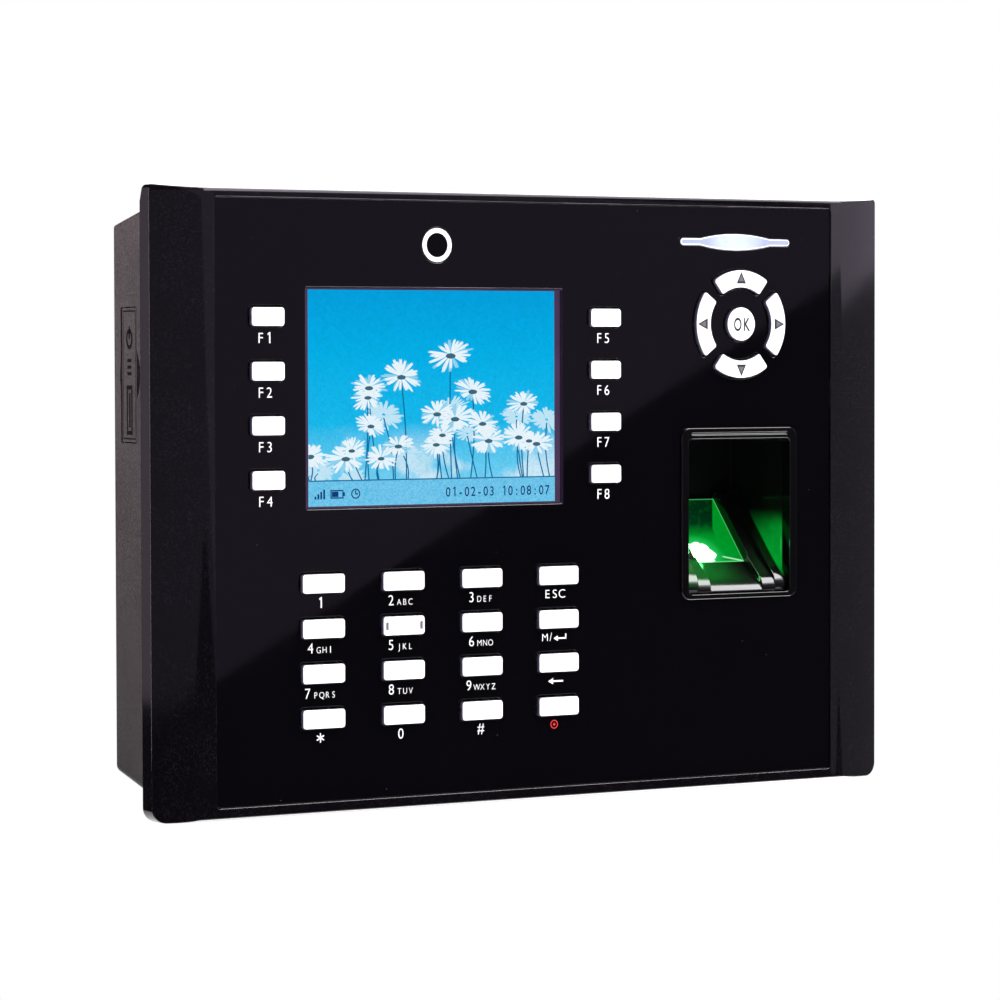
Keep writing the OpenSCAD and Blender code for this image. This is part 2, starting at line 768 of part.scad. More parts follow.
module power_socket()
    color([0.08, 0.08, 0.09]) {
        difference() {
            box_at(power_x - power_w / 2, power_x + power_w / 2,
                main_back + 0.05, power_back, bay_top, -28);
            translate([power_x, panel_y + power_mid, bay_top - 1]) cylinder(r = 3.2, h = 10);
        }
        translate([power_x, panel_y + power_mid, bay_top + 0.5]) cylinder(r = 1, h = 9);
    }

module terminal_block()
    color([0.1, 0.5, 0.25])
    difference() {
        box_at(terminal_x - terminal_w / 2, terminal_x + terminal_w / 2,
            main_back + 0.05, terminal_back, bay_top, -31);
        for (i = [-3.5:3.5]) {
            x = terminal_x + terminal_pitch * i;
            box_at(x - 0.85, x + 0.85, 28, 31, bay_top - 1, bay_top + 6);
            rod(x, bay_top + 4, 1.1, terminal_back - 1.5, terminal_back + 1);
        }
    }

// Wall plate and screws ------------------------------------------------------------------------

module wall_plate()
    color([0.6, 0.61, 0.63])
    difference() {
        union() {
            slab(case_depth, case_depth + plate_t) translate([0, -3]) rounded(184, 122, 3);
            for (x = [-1, 1], z = HOOK_Z) {
                box_at(x * hook_x - hook_w / 2, x * hook_x + hook_w / 2,
                    back_inside - 2, case_depth + 0.5, z + 1, z + 2.5);
                box_at(x * hook_x - hook_w / 2, x * hook_x + hook_w / 2,
                    back_inside - 2, back_inside - 0.5, z + 1, z + 6);
            }
            for (x = LOCK_X)
                box_at(x - lock_w / 2, x + lock_w / 2,
                    lock_y - 4, case_depth + 0.5, lock_z - 1.5, lock_z);
        }
        for (x = [-1, 1], z = [-1, 1])
            rod(x * wall_hole_x, z * wall_hole_z, wall_hole_r, case_depth - 1, case_depth + 3);
        slab(case_depth - 1, case_depth + 3)
            translate([bay_x, -51]) rounded(bay_w - 20, 14, 2);
        for (x = LOCK_X) translate([x, panel_y + lock_y, -65]) cylinder(r = 1.3, h = 8);
    }

// Pan-head screw along +y, head towards the wall
module case_screw(x, z) {
    rod(x, z, 1.45, 3.5, 12.1);
    rod(x, z, 2.8, 12, 14.2);
}

module case_screws()
    color([0.7, 0.7, 0.72])
    for (x = [-1, 1], z = [-1, 1]) case_screw(x * case_screw_x, z * case_screw_z);

module board_screws()
    color([0.7, 0.7, 0.72]) {
        for (p = KEY_POSTS) {
            rod(p[0], p[1], 1.05, 3, 7.9);
            rod(p[0], p[1], 2.1, 7.8, 9.2);
        }
        for (p = BOARD_POSTS) {
            rod(p[0], p[1], 1.05, main_front - 0.1, main_back + 6);
            rod(p[0], p[1], 2.4, main_front - 1.6, main_front - 0.05);
        }
    }

module plate_screws()
    color([0.7, 0.7, 0.72])
    for (x = LOCK_X) {
        translate([x, panel_y + lock_y, -66.2]) cylinder(r = 1.25, h = 7.2);
        translate([x, panel_y + lock_y, -68]) cylinder(r = 2.8, h = 1.8);
    }

front_bezel();
front_panel();
display_window();
camera_window();
light_bar();
rear_shell();
cable_tray();
port_cover();
sensor_rim();
finger_guide();
sensor_prism();
sensor_housing();
sensor_board();
key_mat();
key_board();
display_panel();
display_frame();
camera_module();
main_board();
ribbon_cables();
speaker();
usb_socket();
power_switch();
switch_slider();
network_socket();
power_socket();
terminal_block();
wall_plate();
case_screws();
board_screws();
plate_screws();
for (k = KEYS) rect_key(k);
for (i = [0:3]) arrow_key(i);
nav_ok();
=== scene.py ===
"""Looks of the fingerprint scanner terminal, built round its CAD model, in metres and in its frame."""

import math
import random

import bmesh
import bpy
from mathutils import Matrix, Vector


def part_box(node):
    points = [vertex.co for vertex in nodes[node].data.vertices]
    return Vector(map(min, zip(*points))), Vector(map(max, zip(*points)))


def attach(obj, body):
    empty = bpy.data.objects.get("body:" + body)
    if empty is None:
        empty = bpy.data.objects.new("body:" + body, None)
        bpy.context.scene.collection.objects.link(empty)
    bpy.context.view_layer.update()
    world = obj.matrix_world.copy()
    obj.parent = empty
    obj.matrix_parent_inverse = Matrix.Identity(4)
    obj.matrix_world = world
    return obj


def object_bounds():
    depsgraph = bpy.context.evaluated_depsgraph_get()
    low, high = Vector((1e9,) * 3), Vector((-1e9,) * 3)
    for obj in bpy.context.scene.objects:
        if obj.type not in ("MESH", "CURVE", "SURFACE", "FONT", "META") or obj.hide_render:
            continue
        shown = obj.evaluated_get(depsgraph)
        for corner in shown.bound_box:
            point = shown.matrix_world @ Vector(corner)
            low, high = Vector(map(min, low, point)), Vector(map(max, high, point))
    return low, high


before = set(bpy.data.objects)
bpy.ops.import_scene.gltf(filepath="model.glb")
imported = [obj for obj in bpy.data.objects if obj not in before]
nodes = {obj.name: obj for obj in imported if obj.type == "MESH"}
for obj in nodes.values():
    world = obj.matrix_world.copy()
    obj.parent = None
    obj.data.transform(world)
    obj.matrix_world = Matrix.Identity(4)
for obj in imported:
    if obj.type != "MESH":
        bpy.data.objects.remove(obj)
cad_low, cad_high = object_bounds()
MM = 0.001
BLACK = (0, 0, 0, 1)
chance = random.Random(7)


def centre(node):
    """Middle of a CAD node's box."""
    low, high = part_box(node)
    return (low + high) / 2


PANEL_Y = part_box("front_panel")[0].y  # face of the glossy panel, which looks towards -Y
prism_low, prism_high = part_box("sensor_prism")


# Materials ------------------------------------------------


def srgb(r, g, b):
    """Linear colour from 0 to 255 screen values."""
    def line(v):
        v /= 255
        return v / 12.92 if v <= 0.04045 else ((v + 0.055) / 1.055) ** 2.4
    return (line(r), line(g), line(b), 1)


class Shader:
    """A material under construction, with short ways to add and join nodes."""

    def __init__(self, name):
        self.material = bpy.data.materials.new(name)
        self.material.use_nodes = True
        self.tree = self.material.node_tree
        self.bsdf = self.tree.nodes["Principled BSDF"]
        self.output = self.tree.nodes["Material Output"]
        self.where = self.add("ShaderNodeTexCoord").outputs["Object"]

    def add(self, kind, **settings):
        node = self.tree.nodes.new(kind)
        for key, value in settings.items():
            setattr(node, key, value)
        return node

    def join(self, a, b):
        self.tree.links.new(a, b)

    def put(self, socket, value):
        """A number, colour or another node's output into a socket."""
        if isinstance(value, bpy.types.NodeSocket):
            self.join(value, socket)
        else:
            socket.default_value = value

    def stretched(self, scale):
        """Object coordinates scaled along each axis."""
        node = self.add("ShaderNodeMapping")
        self.join(self.where, node.inputs["Vector"])
        node.inputs["Scale"].default_value = scale
        return node.outputs["Vector"]

    def noise(self, size_mm, detail=3.0, rough=0.55, vector=None):
        """Noise whose lumps are about size_mm across, from 0 to 1."""
        node = self.add("ShaderNodeTexNoise")
        self.join(vector or self.where, node.inputs["Vector"])
        node.inputs["Scale"].default_value = 1000 / size_mm
        node.inputs["Detail"].default_value = detail
        node.inputs["Roughness"].default_value = rough
        return node.outputs["Fac"]

    def ramp(self, value, stops):
        """Colour ramp over 0 to 1; stops are (position, colour)."""
        node = self.add("ShaderNodeValToRGB")
        self.join(value, node.inputs["Fac"])
        points = node.color_ramp.elements
        while len(points) < len(stops):
            points.new(0.5)
        for point, (at, colour) in zip(points, stops):
            point.position = at
            point.color = colour
        return node.outputs["Color"]

    def spread(self, value, low, high, into_low, into_high, smooth=False):
        """Maps a range of one value onto another."""
        node = self.add("ShaderNodeMapRange")
        node.interpolation_type = "SMOOTHSTEP" if smooth else "LINEAR"
        self.join(value, node.inputs["Value"])
        sockets = ("From Min", "From Max", "To Min", "To Max")
        for key, number in zip(sockets, (low, high, into_low, into_high)):
            node.inputs[key].default_value = number
        return node.outputs["Result"]

    def math(self, kind, a, b=0.0):
        """One step of arithmetic."""
        node = self.add("ShaderNodeMath", operation=kind)
        self.put(node.inputs[0], a)
        self.put(node.inputs[1], b)
        return node.outputs[0]

    def product(self, first, *others):
        """All the values multiplied."""
        for other in others:
            first = self.math("MULTIPLY", first, other)
        return first

    def mix(self, how_much, a, b, kind="MIX"):
        """Colour a, going over into b."""
        node = self.add("ShaderNodeMix", data_type="RGBA", blend_type=kind)
        self.put(node.inputs[0], how_much)
        self.put(node.inputs[6], a)
        self.put(node.inputs[7], b)
        return node.outputs[2]

    def axes(self):
        """Object coordinates, one output for each axis."""
        node = self.add("ShaderNodeSeparateXYZ")
        self.join(self.where, node.inputs[0])
        return node.outputs

    def dots(self, size_mm, share):
        """Scattered specks: 1 inside a speck, 0 elsewhere."""
        node = self.add("ShaderNodeTexVoronoi")
        self.join(self.where, node.inputs["Vector"])
        node.inputs["Scale"].default_value = 1000 / size_mm
        return self.spread(node.outputs["Distance"], share * 0.5, share, 1.0, 0.0)

    def scratches(self, strength=1.0):
        """Hairlines in two directions, from 0 to 1."""
        across = self.noise(0.35, 2.0, 0.5, self.stretched((0.04, 1, 1)))
        along = self.noise(0.35, 2.0, 0.5, self.stretched((1, 1, 0.04)))
        both = self.math("MAXIMUM", across, along)
        return self.spread(both, 0.68, 0.78, 0.0, strength)

    def bump(self, height, depth_mm, strength=1.0):
        """Relief on top of any that is there already."""
        node = self.add("ShaderNodeBump")
        node.inputs["Strength"].default_value = strength
        node.inputs["Distance"].default_value = depth_mm * MM
        self.join(height, node.inputs["Height"])
        previous = self.bsdf.inputs["Normal"]
        if previous.is_linked:
            self.join(previous.links[0].from_socket, node.inputs["Normal"])
        self.join(node.outputs["Normal"], previous)

    def round_edges(self, radius_mm):
        """Edges that catch the light as if slightly rounded, whatever the mesh."""
        node = self.add("ShaderNodeBevel", samples=6)
        node.inputs["Radius"].default_value = radius_mm * MM
        self.join(node.outputs["Normal"], self.bsdf.inputs["Normal"])

    def look(self, **inputs):
        """Sets inputs of the surface by name, such as base_color."""
        for key, value in inputs.items():
            self.put(self.bsdf.inputs[key.replace("_", " ").title().replace("Ior", "IOR")], value)


def scaled(colour, times):
    """The same colour, darker or brighter."""
    return tuple(c * times for c in colour[:3]) + (1,)


def moulded(name, dark, light, rough, grain_mm, grain_depth, polish=0.08, edge_mm=0):
    """Moulded plastic with spark-eroded grain, slight blotches and rubbed patches."""
    s = Shader(name)
    if edge_mm:
        s.round_edges(edge_mm)
    grain = s.noise(grain_mm, 2, 0.6)
    tone = s.math("ADD", s.product(s.noise(18, 4), 0.2), s.product(grain, 0.8))
    s.look(base_color=s.ramp(tone, [(0.35, dark), (0.65, light)]))
    worn = s.noise(35, 5, 0.6)
    s.look(roughness=s.spread(worn, 0.35, 0.7, rough - polish / 2, rough + polish / 2))
    s.bump(grain, grain_depth)
    s.bump(s.noise(1.4, 3), grain_depth * 0.6, 0.5)
    return s


def glossy(name, colour, rough=0.03, scratch=0.12, edge_mm=0):
    """Polished plastic: faint hairlines, wiped patches and a few specks of dust."""
    s = Shader(name)
    if edge_mm:
        s.round_edges(edge_mm)
    wiped = s.spread(s.noise(25, 5, 0.6), 0.3, 0.75, rough, rough * 2.2)
    s.look(roughness=s.math("ADD", wiped, s.scratches(scratch)))
    tint = s.mix(s.noise(30, 3), colour, scaled(colour, 1.25))
    s.look(base_color=s.mix(s.dots(4.5, 0.02), tint, (0.16, 0.15, 0.17, 1)))
    s.bump(s.noise(6, 2), 0.002, 0.6)
    return s


def sparkling(name, colour, spark, rough):
    """Black moulding with a shine and a trace of metallic sparkle in it."""
    s = Shader(name)
    s.round_edges(0.3)
    fine = s.spread(s.noise(0.55, 3, 0.7), 0.5, 0.78, 0.0, 1.0)
    drifts = s.spread(s.noise(9, 4), 0.35, 0.65, 0.1, 0.5)
    tone = s.mix(s.noise(24, 4), colour, scaled(colour, 1.5))
    s.look(base_color=s.mix(s.product(fine, drifts), tone, spark))
    wiped = s.spread(s.noise(22, 5, 0.6), 0.3, 0.75, rough, rough * 1.8)
    s.look(roughness=s.math("ADD", wiped, s.scratches(0.03)))
    s.bump(s.noise(5, 2), 0.002, 0.5)
    return s


def brushed(name, colour, rough, direction, stain=(0.3, 0.3, 0.31, 1)):
    """Sheet metal with rolling lines along one direction and dull patches."""
    s = Shader(name)
    lines = s.noise(0.25, 3, 0.6, s.stretched(direction))
    patches = s.noise(9, 5, 0.65)
    stained = s.spread(patches, 0.45, 0.8, 0.0, 0.5)
    s.look(base_color=s.mix(stained, colour, stain), metallic=1.0)
    rolled = s.spread(lines, 0.3, 0.7, rough - 0.06, rough + 0.06)
    s.look(roughness=s.math("ADD", rolled, s.spread(patches, 0.4, 0.8, 0.0, 0.12)))
    s.bump(lines, 0.01, 0.5)
    return s


def circuit_board(name):
    """Solder mask over copper tracks, with bare pads."""
    s = Shader(name)
    x, _, z = s.axes()[:3]
    face = s.add("ShaderNodeCombineXYZ")
    s.join(x, face.inputs[0])
    s.join(z, face.inputs[1])
    grid = s.add("ShaderNodeTexBrick", offset=0.5, squash=1.6)
    s.join(face.outputs[0], grid.inputs["Vector"])
    grid.inputs["Scale"].default_value = 90
    grid.inputs["Mortar Size"].default_value = 0.09
    grid.inputs["Color1"].default_value = (0.004, 0.085, 0.03, 1)
    grid.inputs["Color2"].default_value = (0.006, 0.115, 0.04, 1)
    grid.inputs["Mortar"].default_value = (0.015, 0.19, 0.07, 1)
    pads = s.dots(2.6, 0.17)
    s.look(base_color=s.mix(pads, grid.outputs["Color"], (0.72, 0.68, 0.55, 1)))
    s.look(roughness=s.spread(s.noise(3, 3), 0.3, 0.7, 0.22, 0.4), metallic=s.product(pads, 0.9))
    s.bump(grid.outputs["Fac"], 0.03, 0.6)
    return s


def light_only(name, colour):
    """Light given off by a part of the picture, with a trace of unevenness."""
    s = Shader(name)
    uneven = s.spread(s.noise(0.8, 2), 0.3, 0.7, 0.97, 1.03)
    s.look(base_color=BLACK, emission_color=colour, emission_strength=uneven,
           roughness=0.6, specular_ior_level=0.0)
    return s


def ink(name, colour, painted_glow=0.0):
    """Screen-printed ink: slightly uneven cover, brightened by painted light given off as emission where an
    amount is passed.
    """
    s = Shader(name)
    cover = s.noise(0.5, 3)
    thin = s.spread(cover, 0.3, 0.8, 0.0, 0.25)
    s.look(base_color=s.mix(thin, colour, scaled(colour, 0.8)))
    s.look(roughness=s.spread(cover, 0.3, 0.7, 0.35, 0.5))
    if painted_glow:
        s.look(emission_color=colour, emission_strength=painted_glow)
    return s


def display_picture():
    """Backlit sky behind the flowers: cyan gradient, soft blurred blooms low down, fine grain."""
    s = Shader("picture_sky")
    low, high = picture_area()
    x, _, z = s.axes()[:3]
    height = s.spread(z, low.z, high.z, 0.0, 1.0)
    sky = s.ramp(height, [
        (0.0, srgb(140, 218, 246)),
        (0.2, srgb(96, 206, 244)),
        (0.38, srgb(22, 188, 238)),
        (0.7, srgb(0, 178, 233)),
        (1.0, srgb(0, 162, 224)),
    ])
    low_down = s.spread(height, 0.12, 0.4, 1.0, 0.0, True)
    blurred = s.spread(s.noise(11, 2.5, 0.5), 0.46, 0.62, 0.0, 0.9, True)
    sky = s.mix(s.product(blurred, low_down), sky, srgb(215, 240, 250))
    grain = s.spread(s.noise(0.45, 2, 0.7), 0.3, 0.7, 0.86, 1.12)
    dot_pitch = 0.219 * MM
    columns = s.math("SINE", s.product(x, 2 * math.pi / dot_pitch))
    rows = s.math("SINE", s.product(z, 2 * math.pi / dot_pitch))
    dots = s.spread(s.product(columns, rows), -1.0, 1.0, 0.95, 1.03)
    s.look(base_color=BLACK, emission_color=sky, emission_strength=s.product(grain, dots),
           roughness=0.5, specular_ior_level=0.0)
    return s


def clear_window(name, tint, index=1.49):
    """Thin clear window: see-through, with the surface's own reflection and smudges."""
    s = Shader(name)
    through = s.add("ShaderNodeBsdfTransparent")
    through.inputs["Color"].default_value = tint
    shine = s.add("ShaderNodeBsdfGlossy")
    smudges = s.spread(s.noise(20, 5), 0.3, 0.7, 0.02, 0.05)
    s.join(s.math("ADD", smudges, s.scratches(0.06)), shine.inputs["Roughness"])
    fresnel = s.add("ShaderNodeFresnel")
    fresnel.inputs["IOR"].default_value = index
    blend = s.add("ShaderNodeMixShader")
    s.join(fresnel.outputs[0], blend.inputs[0])
    s.join(through.outputs[0], blend.inputs[1])
    s.join(shine.outputs[0], blend.inputs[2])
    s.join(blend.outputs[0], s.output.inputs["Surface"])
    s.tree.nodes.remove(s.bsdf)
    return s


# Pieces ---------------------------------------------------


def smooth_group(degrees):
    """Smooth shading with sharp edges above an angle, as a modifier."""
    group = bpy.data.node_groups.new("smooth_below_%d" % degrees, "GeometryNodeTree")
    group.interface.new_socket("Geometry", in_out="INPUT", socket_type="NodeSocketGeometry")
    group.interface.new_socket("Geometry", in_out="OUTPUT", socket_type="NodeSocketGeometry")
    start = group.nodes.new("NodeGroupInput")
    end = group.nodes.new("NodeGroupOutput")
    faces = group.nodes.new("GeometryNodeSetShadeSmooth")
    edges = group.nodes.new("GeometryNodeSetShadeSmooth")
    edges.domain = "EDGE"
    edges.inputs["Shade Smooth"].default_value = False
    angle = group.nodes.new("GeometryNodeInputMeshEdgeAngle")
    test = group.nodes.new("FunctionNodeCompare")
    test.data_type = "FLOAT"
    test.operation = "GREATER_THAN"
    test.inputs[1].default_value = math.radians(degrees)
    group.links.new(angle.outputs["Unsigned Angle"], test.inputs[0])
    group.links.new(test.outputs[0], edges.inputs["Selection"])
    group.links.new(start.outputs[0], faces.inputs["Geometry"])
    group.links.new(faces.outputs[0], edges.inputs["Geometry"])
    group.links.new(edges.outputs[0], end.inputs[0])
    return group


SMOOTH, CRISP = smooth_group(32), smooth_group(6)
WELD_WITHIN = 0.002 * MM
FLAT_WITHIN = math.radians(0.4)  # faces that meet at less than this become one
ROUND_FROM = math.radians(38)  # edges that turn more than this are rounded


def soften(name, width_mm, steps=3, edge_slot=-1, merge=True, group=SMOOTH):
    """Small rounded edges on a CAD node, as moulding gives, and clean shading."""
    piece = nodes[name]
    if "custom_normal" in piece.data.attributes:
        piece.data.attributes.remove(piece.data.attributes["custom_normal"])
    weld = piece.modifiers.new("weld", "WELD")
    weld.merge_threshold = WELD_WITHIN
    if width_mm and merge:
        flat = piece.modifiers.new("flat", "DECIMATE")
        flat.decimate_type = "DISSOLVE"
        flat.angle_limit = FLAT_WITHIN
    if width_mm:
        edge = piece.modifiers.new("edge", "BEVEL")
        edge.width = width_mm * MM
        edge.segments = steps
        edge.limit_method = "ANGLE"
        edge.angle_limit = ROUND_FROM
        edge.use_clamp_overlap = False
        edge.miter_outer = "MITER_ARC"
        edge.material = edge_slot
    smooth = piece.modifiers.new("smooth", "NODES")
    smooth.node_group = group
    if group is SMOOTH:
        even = piece.modifiers.new("even", "WEIGHTED_NORMAL")
        even.keep_sharp = True
        even.weight = 100


def paint(name, shader, *others):
    """Material of a CAD node, and any more in its further slots."""
    slots = nodes[name].data.materials
    slots.clear()
    for s in (shader, *others):
        slots.append(s.material)


def add_piece(name, data, shader, body):
    """Piece of its own made from a mesh, which rides on a body."""
    data.materials.append(shader.material)
    piece = bpy.data.objects.new(name, data)
    bpy.context.scene.collection.objects.link(piece)
    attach(piece, body)


def finished(name, mesh):
    """Mesh data of a bmesh that is done with."""
    data = bpy.data.meshes.new(name)
    mesh.to_mesh(data)
    mesh.free()
    return data


def front_face(mesh, points):
    """New face through the points, turned towards -Y."""
    face = mesh.faces.new([mesh.verts.new(p) for p in points])
    face.normal_update()
    if face.normal.y > 0:
        face.normal_flip()
    return face


def flat_piece(name, outlines, shader, depth_mm, thick_mm=0.02, body="terminal"):
    """Thin piece facing -Y made of outlines [(x, z), ...] in metres; depth is behind the panel face."""
    mesh = bmesh.new()
    back = PANEL_Y + depth_mm * MM
    for outline in outlines:
        face = front_face(mesh, [(x, back, z) for x, z in outline])
        grown = bmesh.ops.extrude_face_region(mesh, geom=[face])
        moved = [v for v in grown["geom"] if isinstance(v, bmesh.types.BMVert)]
        bmesh.ops.translate(mesh, verts=moved, vec=(0, -thick_mm * MM, 0))
    bmesh.ops.recalc_face_normals(mesh, faces=mesh.faces)
    add_piece(name, finished(name, mesh), shader, body)


def placed_piece(name, outlines, shader, where, body):
    """Flat marks laid in a plane of their own: x and z of the outlines along the first and third axis."""
    data = outline_mesh(outlines, 1)
    data.transform(where)
    add_piece(name, data, shader, body)


def outline_mesh(outlines, scale):
    """Flat mesh in the XZ plane of outlines [(x, z), ...], facing -Y."""
    mesh = bmesh.new()
    for outline in outlines:
        front_face(mesh, [(x * scale, 0, z * scale) for x, z in outline])
    return finished("outline", mesh)


def star_arms(reach, thick):
    """Three bars that cross in a six-armed star, half a letter above the foot."""
    arms = []
    for i in range(3):
        a = math.radians(90 + 60 * i)
        along = Vector((math.cos(a), math.sin(a))) * reach
        side = Vector((-math.sin(a), math.cos(a))) * thick
        ends = (along + side, along - side, -along - side, -along + side)
        arms.append([(q.x, q.y + 0.5) for q in ends])
    return arms


# Signs drawn in shares of the letter height, where the font's own do not suit
DRAWN = {
    "1": [[(0.0, 0), (0.13, 0), (0.13, 1), (0.04, 1), (-0.15, 0.86), (-0.15, 0.73), (0.0, 0.82)]],
    "*": star_arms(0.42, 0.055),
    "I": [[(-0.065, 0), (0.065, 0), (0.065, 1), (-0.065, 1)]],
}
CAPITALS = 0.729  # height of the font's capitals as a share of its size
PRINT_LIFT = 0.011  # millimetres by which print stands in front of its surface
drawn_already = {}


def glyph(sign, height_mm, stretch, weight):
    """Mesh of one character centred on x = 0, with its foot at z = 0."""
    wanted = (sign, height_mm, stretch, weight)
    if wanted in drawn_already:
        return drawn_already[wanted]
    if sign in DRAWN:
        mesh = outline_mesh(DRAWN[sign], height_mm * MM)
    else:
        curve = bpy.data.curves.new("letters", "FONT")
        curve.body = sign
        curve.size = height_mm * MM / CAPITALS
        curve.offset = weight * MM
        curve.resolution_u = 6
        holder = bpy.data.objects.new("letters", curve)
        bpy.context.scene.collection.objects.link(holder)
        bpy.context.view_layer.update()
        evaluated = holder.evaluated_get(bpy.context.evaluated_depsgraph_get())
        mesh = bpy.data.meshes.new_from_object(evaluated)
        bpy.data.objects.remove(holder)
        bpy.data.curves.remove(curve)
        upright = Matrix.Rotation(math.radians(90), 4, "X")
        mesh.transform(upright @ Matrix.Diagonal((stretch, 1, 1, 1)))
        ends = [v.co.x for v in mesh.vertices]
        mesh.transform(Matrix.Translation((-(min(ends) + max(ends)) / 2, 0, 0)))
    drawn_already[wanted] = mesh
    return mesh


def lettering(name, lines, shader, depth_mm, body="terminal", weight=0.0):
    """One piece of several printed words. Each line is (parts, x, z), and each part is
    (text, height, stretch, cell) in millimetres. The parts stand side by side, centred on x with
    their foot at z, and a cell is the room of one character."""
    whole = bmesh.new()
    y = PANEL_Y + (depth_mm - PRINT_LIFT) * MM
    for parts, x, z in lines:
        signs = [(sign, high, stretch, cell) for text, high, stretch, cell in parts for sign in text]
        first, last = signs[0][3], signs[-1][3]
        room = (sum(s[3] for s in signs) - first / 2 - last / 2) * MM
        at = x - room / 2 - first / 2 * MM
        for sign, high, stretch, cell in signs:
            at += cell / 2 * MM
            if sign != " ":
                before = len(whole.verts)
                whole.from_mesh(glyph(sign, high, stretch, weight))
                whole.verts.ensure_lookup_table()
                bmesh.ops.translate(whole, verts=whole.verts[before:], vec=(at, y, z))
            at += cell / 2 * MM
    for face in whole.faces:
        face.material_index = 0
        if face.normal.y > 0:
            face.normal_flip()
    add_piece(name, finished(name, whole), shader, body)


def ring_outlines(x, z, inner, outer, steps=48):
    """A ring as a run of four-cornered outlines."""
    def at(r, i):
        a = 2 * math.pi * i / steps
        return (x + r * math.cos(a), z + r * math.sin(a))
    return [[at(inner, i), at(outer, i), at(outer, i + 1), at(inner, i + 1)] for i in range(steps)]


def disc_outline(x, z, rx, rz=None, steps=32):
    """Round or oval outline."""
    turns = [2 * math.pi * i / steps for i in range(steps)]
    return [(x + rx * math.cos(a), z + (rz or rx) * math.sin(a)) for a in turns]


def bar_outline(x0, x1, z0, z1):
    """Upright rectangle between two sides and two levels."""
    return [(x0, z0), (x1, z0), (x1, z1), (x0, z1)]


def frame_outlines(x, z, w, h, line):
    """Four bars round a rectangle centred on (x, z)."""
    x0, x1, z0, z1 = x - w / 2, x + w / 2, z - h / 2, z + h / 2
    return [
        bar_outline(x0, x1, z0, z0 + line),
        bar_outline(x0, x1, z1 - line, z1),
        bar_outline(x0, x0 + line, z0 + line, z1 - line),
        bar_outline(x1 - line, x1, z0 + line, z1 - line),
    ]


def arrow_outlines(x, z, length, line, head):
    """Arrow pointing left, centred on (x, z)."""
    tip = x - length / 2
    barb_x, barb = tip + head * 1.15, head * 0.62
    return [
        bar_outline(tip + head, x + length / 2, z - line / 2, z + line / 2),
        [(tip, z), (barb_x, z - barb), (barb_x, z + barb)],
    ]


def arrowhead(at, along, size):
    """Triangle about a point that points along a direction."""
    back = at - along * (0.75 * size)
    half_base = Vector((-along.y, along.x)) * (0.85 * size)
    return [tuple(at + along * size), tuple(back + half_base), tuple(back - half_base)]


def picture_area():
    """The lit area of the display: its window less the dark border that shows round it."""
    low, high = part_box("display_window")
    side, edge = 1.51 * MM, 0.57 * MM
    return Vector((low.x + side, low.y, low.z + edge)), Vector((high.x - side, high.y, high.z - edge))


# Case and panel -------------------------------------------


def lit_guide():
    """Black guide with painted green light on its right wall and on the ramp below the glass, standing in
    for the light that the lit glass throws there.
    """
    s = glossy("guide_black", (0.003, 0.003, 0.003, 1), 0.1, scratch=0.06)
    x, y, z = s.axes()[:3]
    in_front = [v.co.x for v in nodes["finger_guide"].data.vertices if v.co.y < prism_low.y]
    wall_x = max(in_front) - 2.0 * MM
    on_wall = s.product(
        s.spread(x, wall_x - 0.5 * MM, wall_x, 0.0, 1.0),
        s.spread(z, prism_high.z - 2 * MM, prism_high.z - 9.5 * MM, 0.0, 1.0, True),
        s.spread(y, PANEL_Y + 17 * MM, PANEL_Y + 6 * MM, 0.3, 1.05),
        s.spread(z, prism_low.z - 4 * MM, prism_low.z - 1 * MM, 0.0, 1.0, True),
    )
    on_ramp = s.product(
        s.spread(z, prism_low.z - 6.4 * MM, prism_low.z - 3 * MM, 0.0, 0.5, True),
        s.spread(x, prism_low.x + 2 * MM, prism_high.x - 1 * MM, 1.0, 0.0, True),
        s.spread(z, prism_low.z + 0.5 * MM, prism_low.z + 1.5 * MM, 1.0, 0.0),
    )
    cloud = s.spread(s.noise(3, 4, 0.6), 0.3, 0.7, 0.75, 1.15)
    painted_green_light = s.product(cloud, s.math("MAXIMUM", on_wall, on_ramp))
    s.look(emission_color=(0.0, 0.27, 0.022, 1), emission_strength=painted_green_light)
    return s


def case_black():
    """Black of the front bezel. The strip above the panel rolls back a little towards the top edge."""
    s = sparkling("bezel_black", (0.0015, 0.0012, 0.0018, 1), (0.02, 0.018, 0.024, 1), 0.045)
    roll_back = s.spread(s.axes()[2], cad_high.z - 4.4 * MM, cad_high.z - 0.7 * MM, 0.0, 1.0)
    s.bump(s.math("SUBTRACT", 1.0, s.math("POWER", roll_back, 3.5)), 0.2)
    return s


def case_grey():
    """Charcoal of the rear shell, with painted shade that darkens it towards its foot."""
    s = moulded("shell_charcoal", (0.02, 0.016, 0.0165, 1), (0.084, 0.068, 0.069, 1),
                0.5, 0.62, 0.03, 0.1, edge_mm=0.25)
    shade = s.spread(s.axes()[2], cad_low.z, cad_high.z, 0.3, 1.1)
    plain = s.bsdf.inputs["Base Color"].links[0].from_socket
    s.look(base_color=s.mix(1.0, plain, shade, "MULTIPLY"))
    return s


shell = case_grey()
paint("front_bezel", case_black())
soften("front_bezel", 0)
paint("rear_shell", shell)
soften("rear_shell", 0)
paint("port_cover", shell)
soften("port_cover", 0)
paint("front_panel", glossy("panel_black", (0.0012, 0.001, 0.0016, 1), 0.02, scratch=0.05, edge_mm=0.3))
soften("front_panel", 0, group=CRISP)
paint("sensor_rim", glossy("rim_black", (0.0016, 0.0015, 0.0018, 1), 0.05))
soften("sensor_rim", 0.22)
paint("finger_guide", lit_guide())
soften("finger_guide", 0.15, 2, merge=False)
paint("display_window", clear_window("window_clear", (0.97, 0.98, 0.99, 1), index=1.16))
paint("camera_window", clear_window("camera_smoke", (0.09, 0.085, 0.1, 1)))
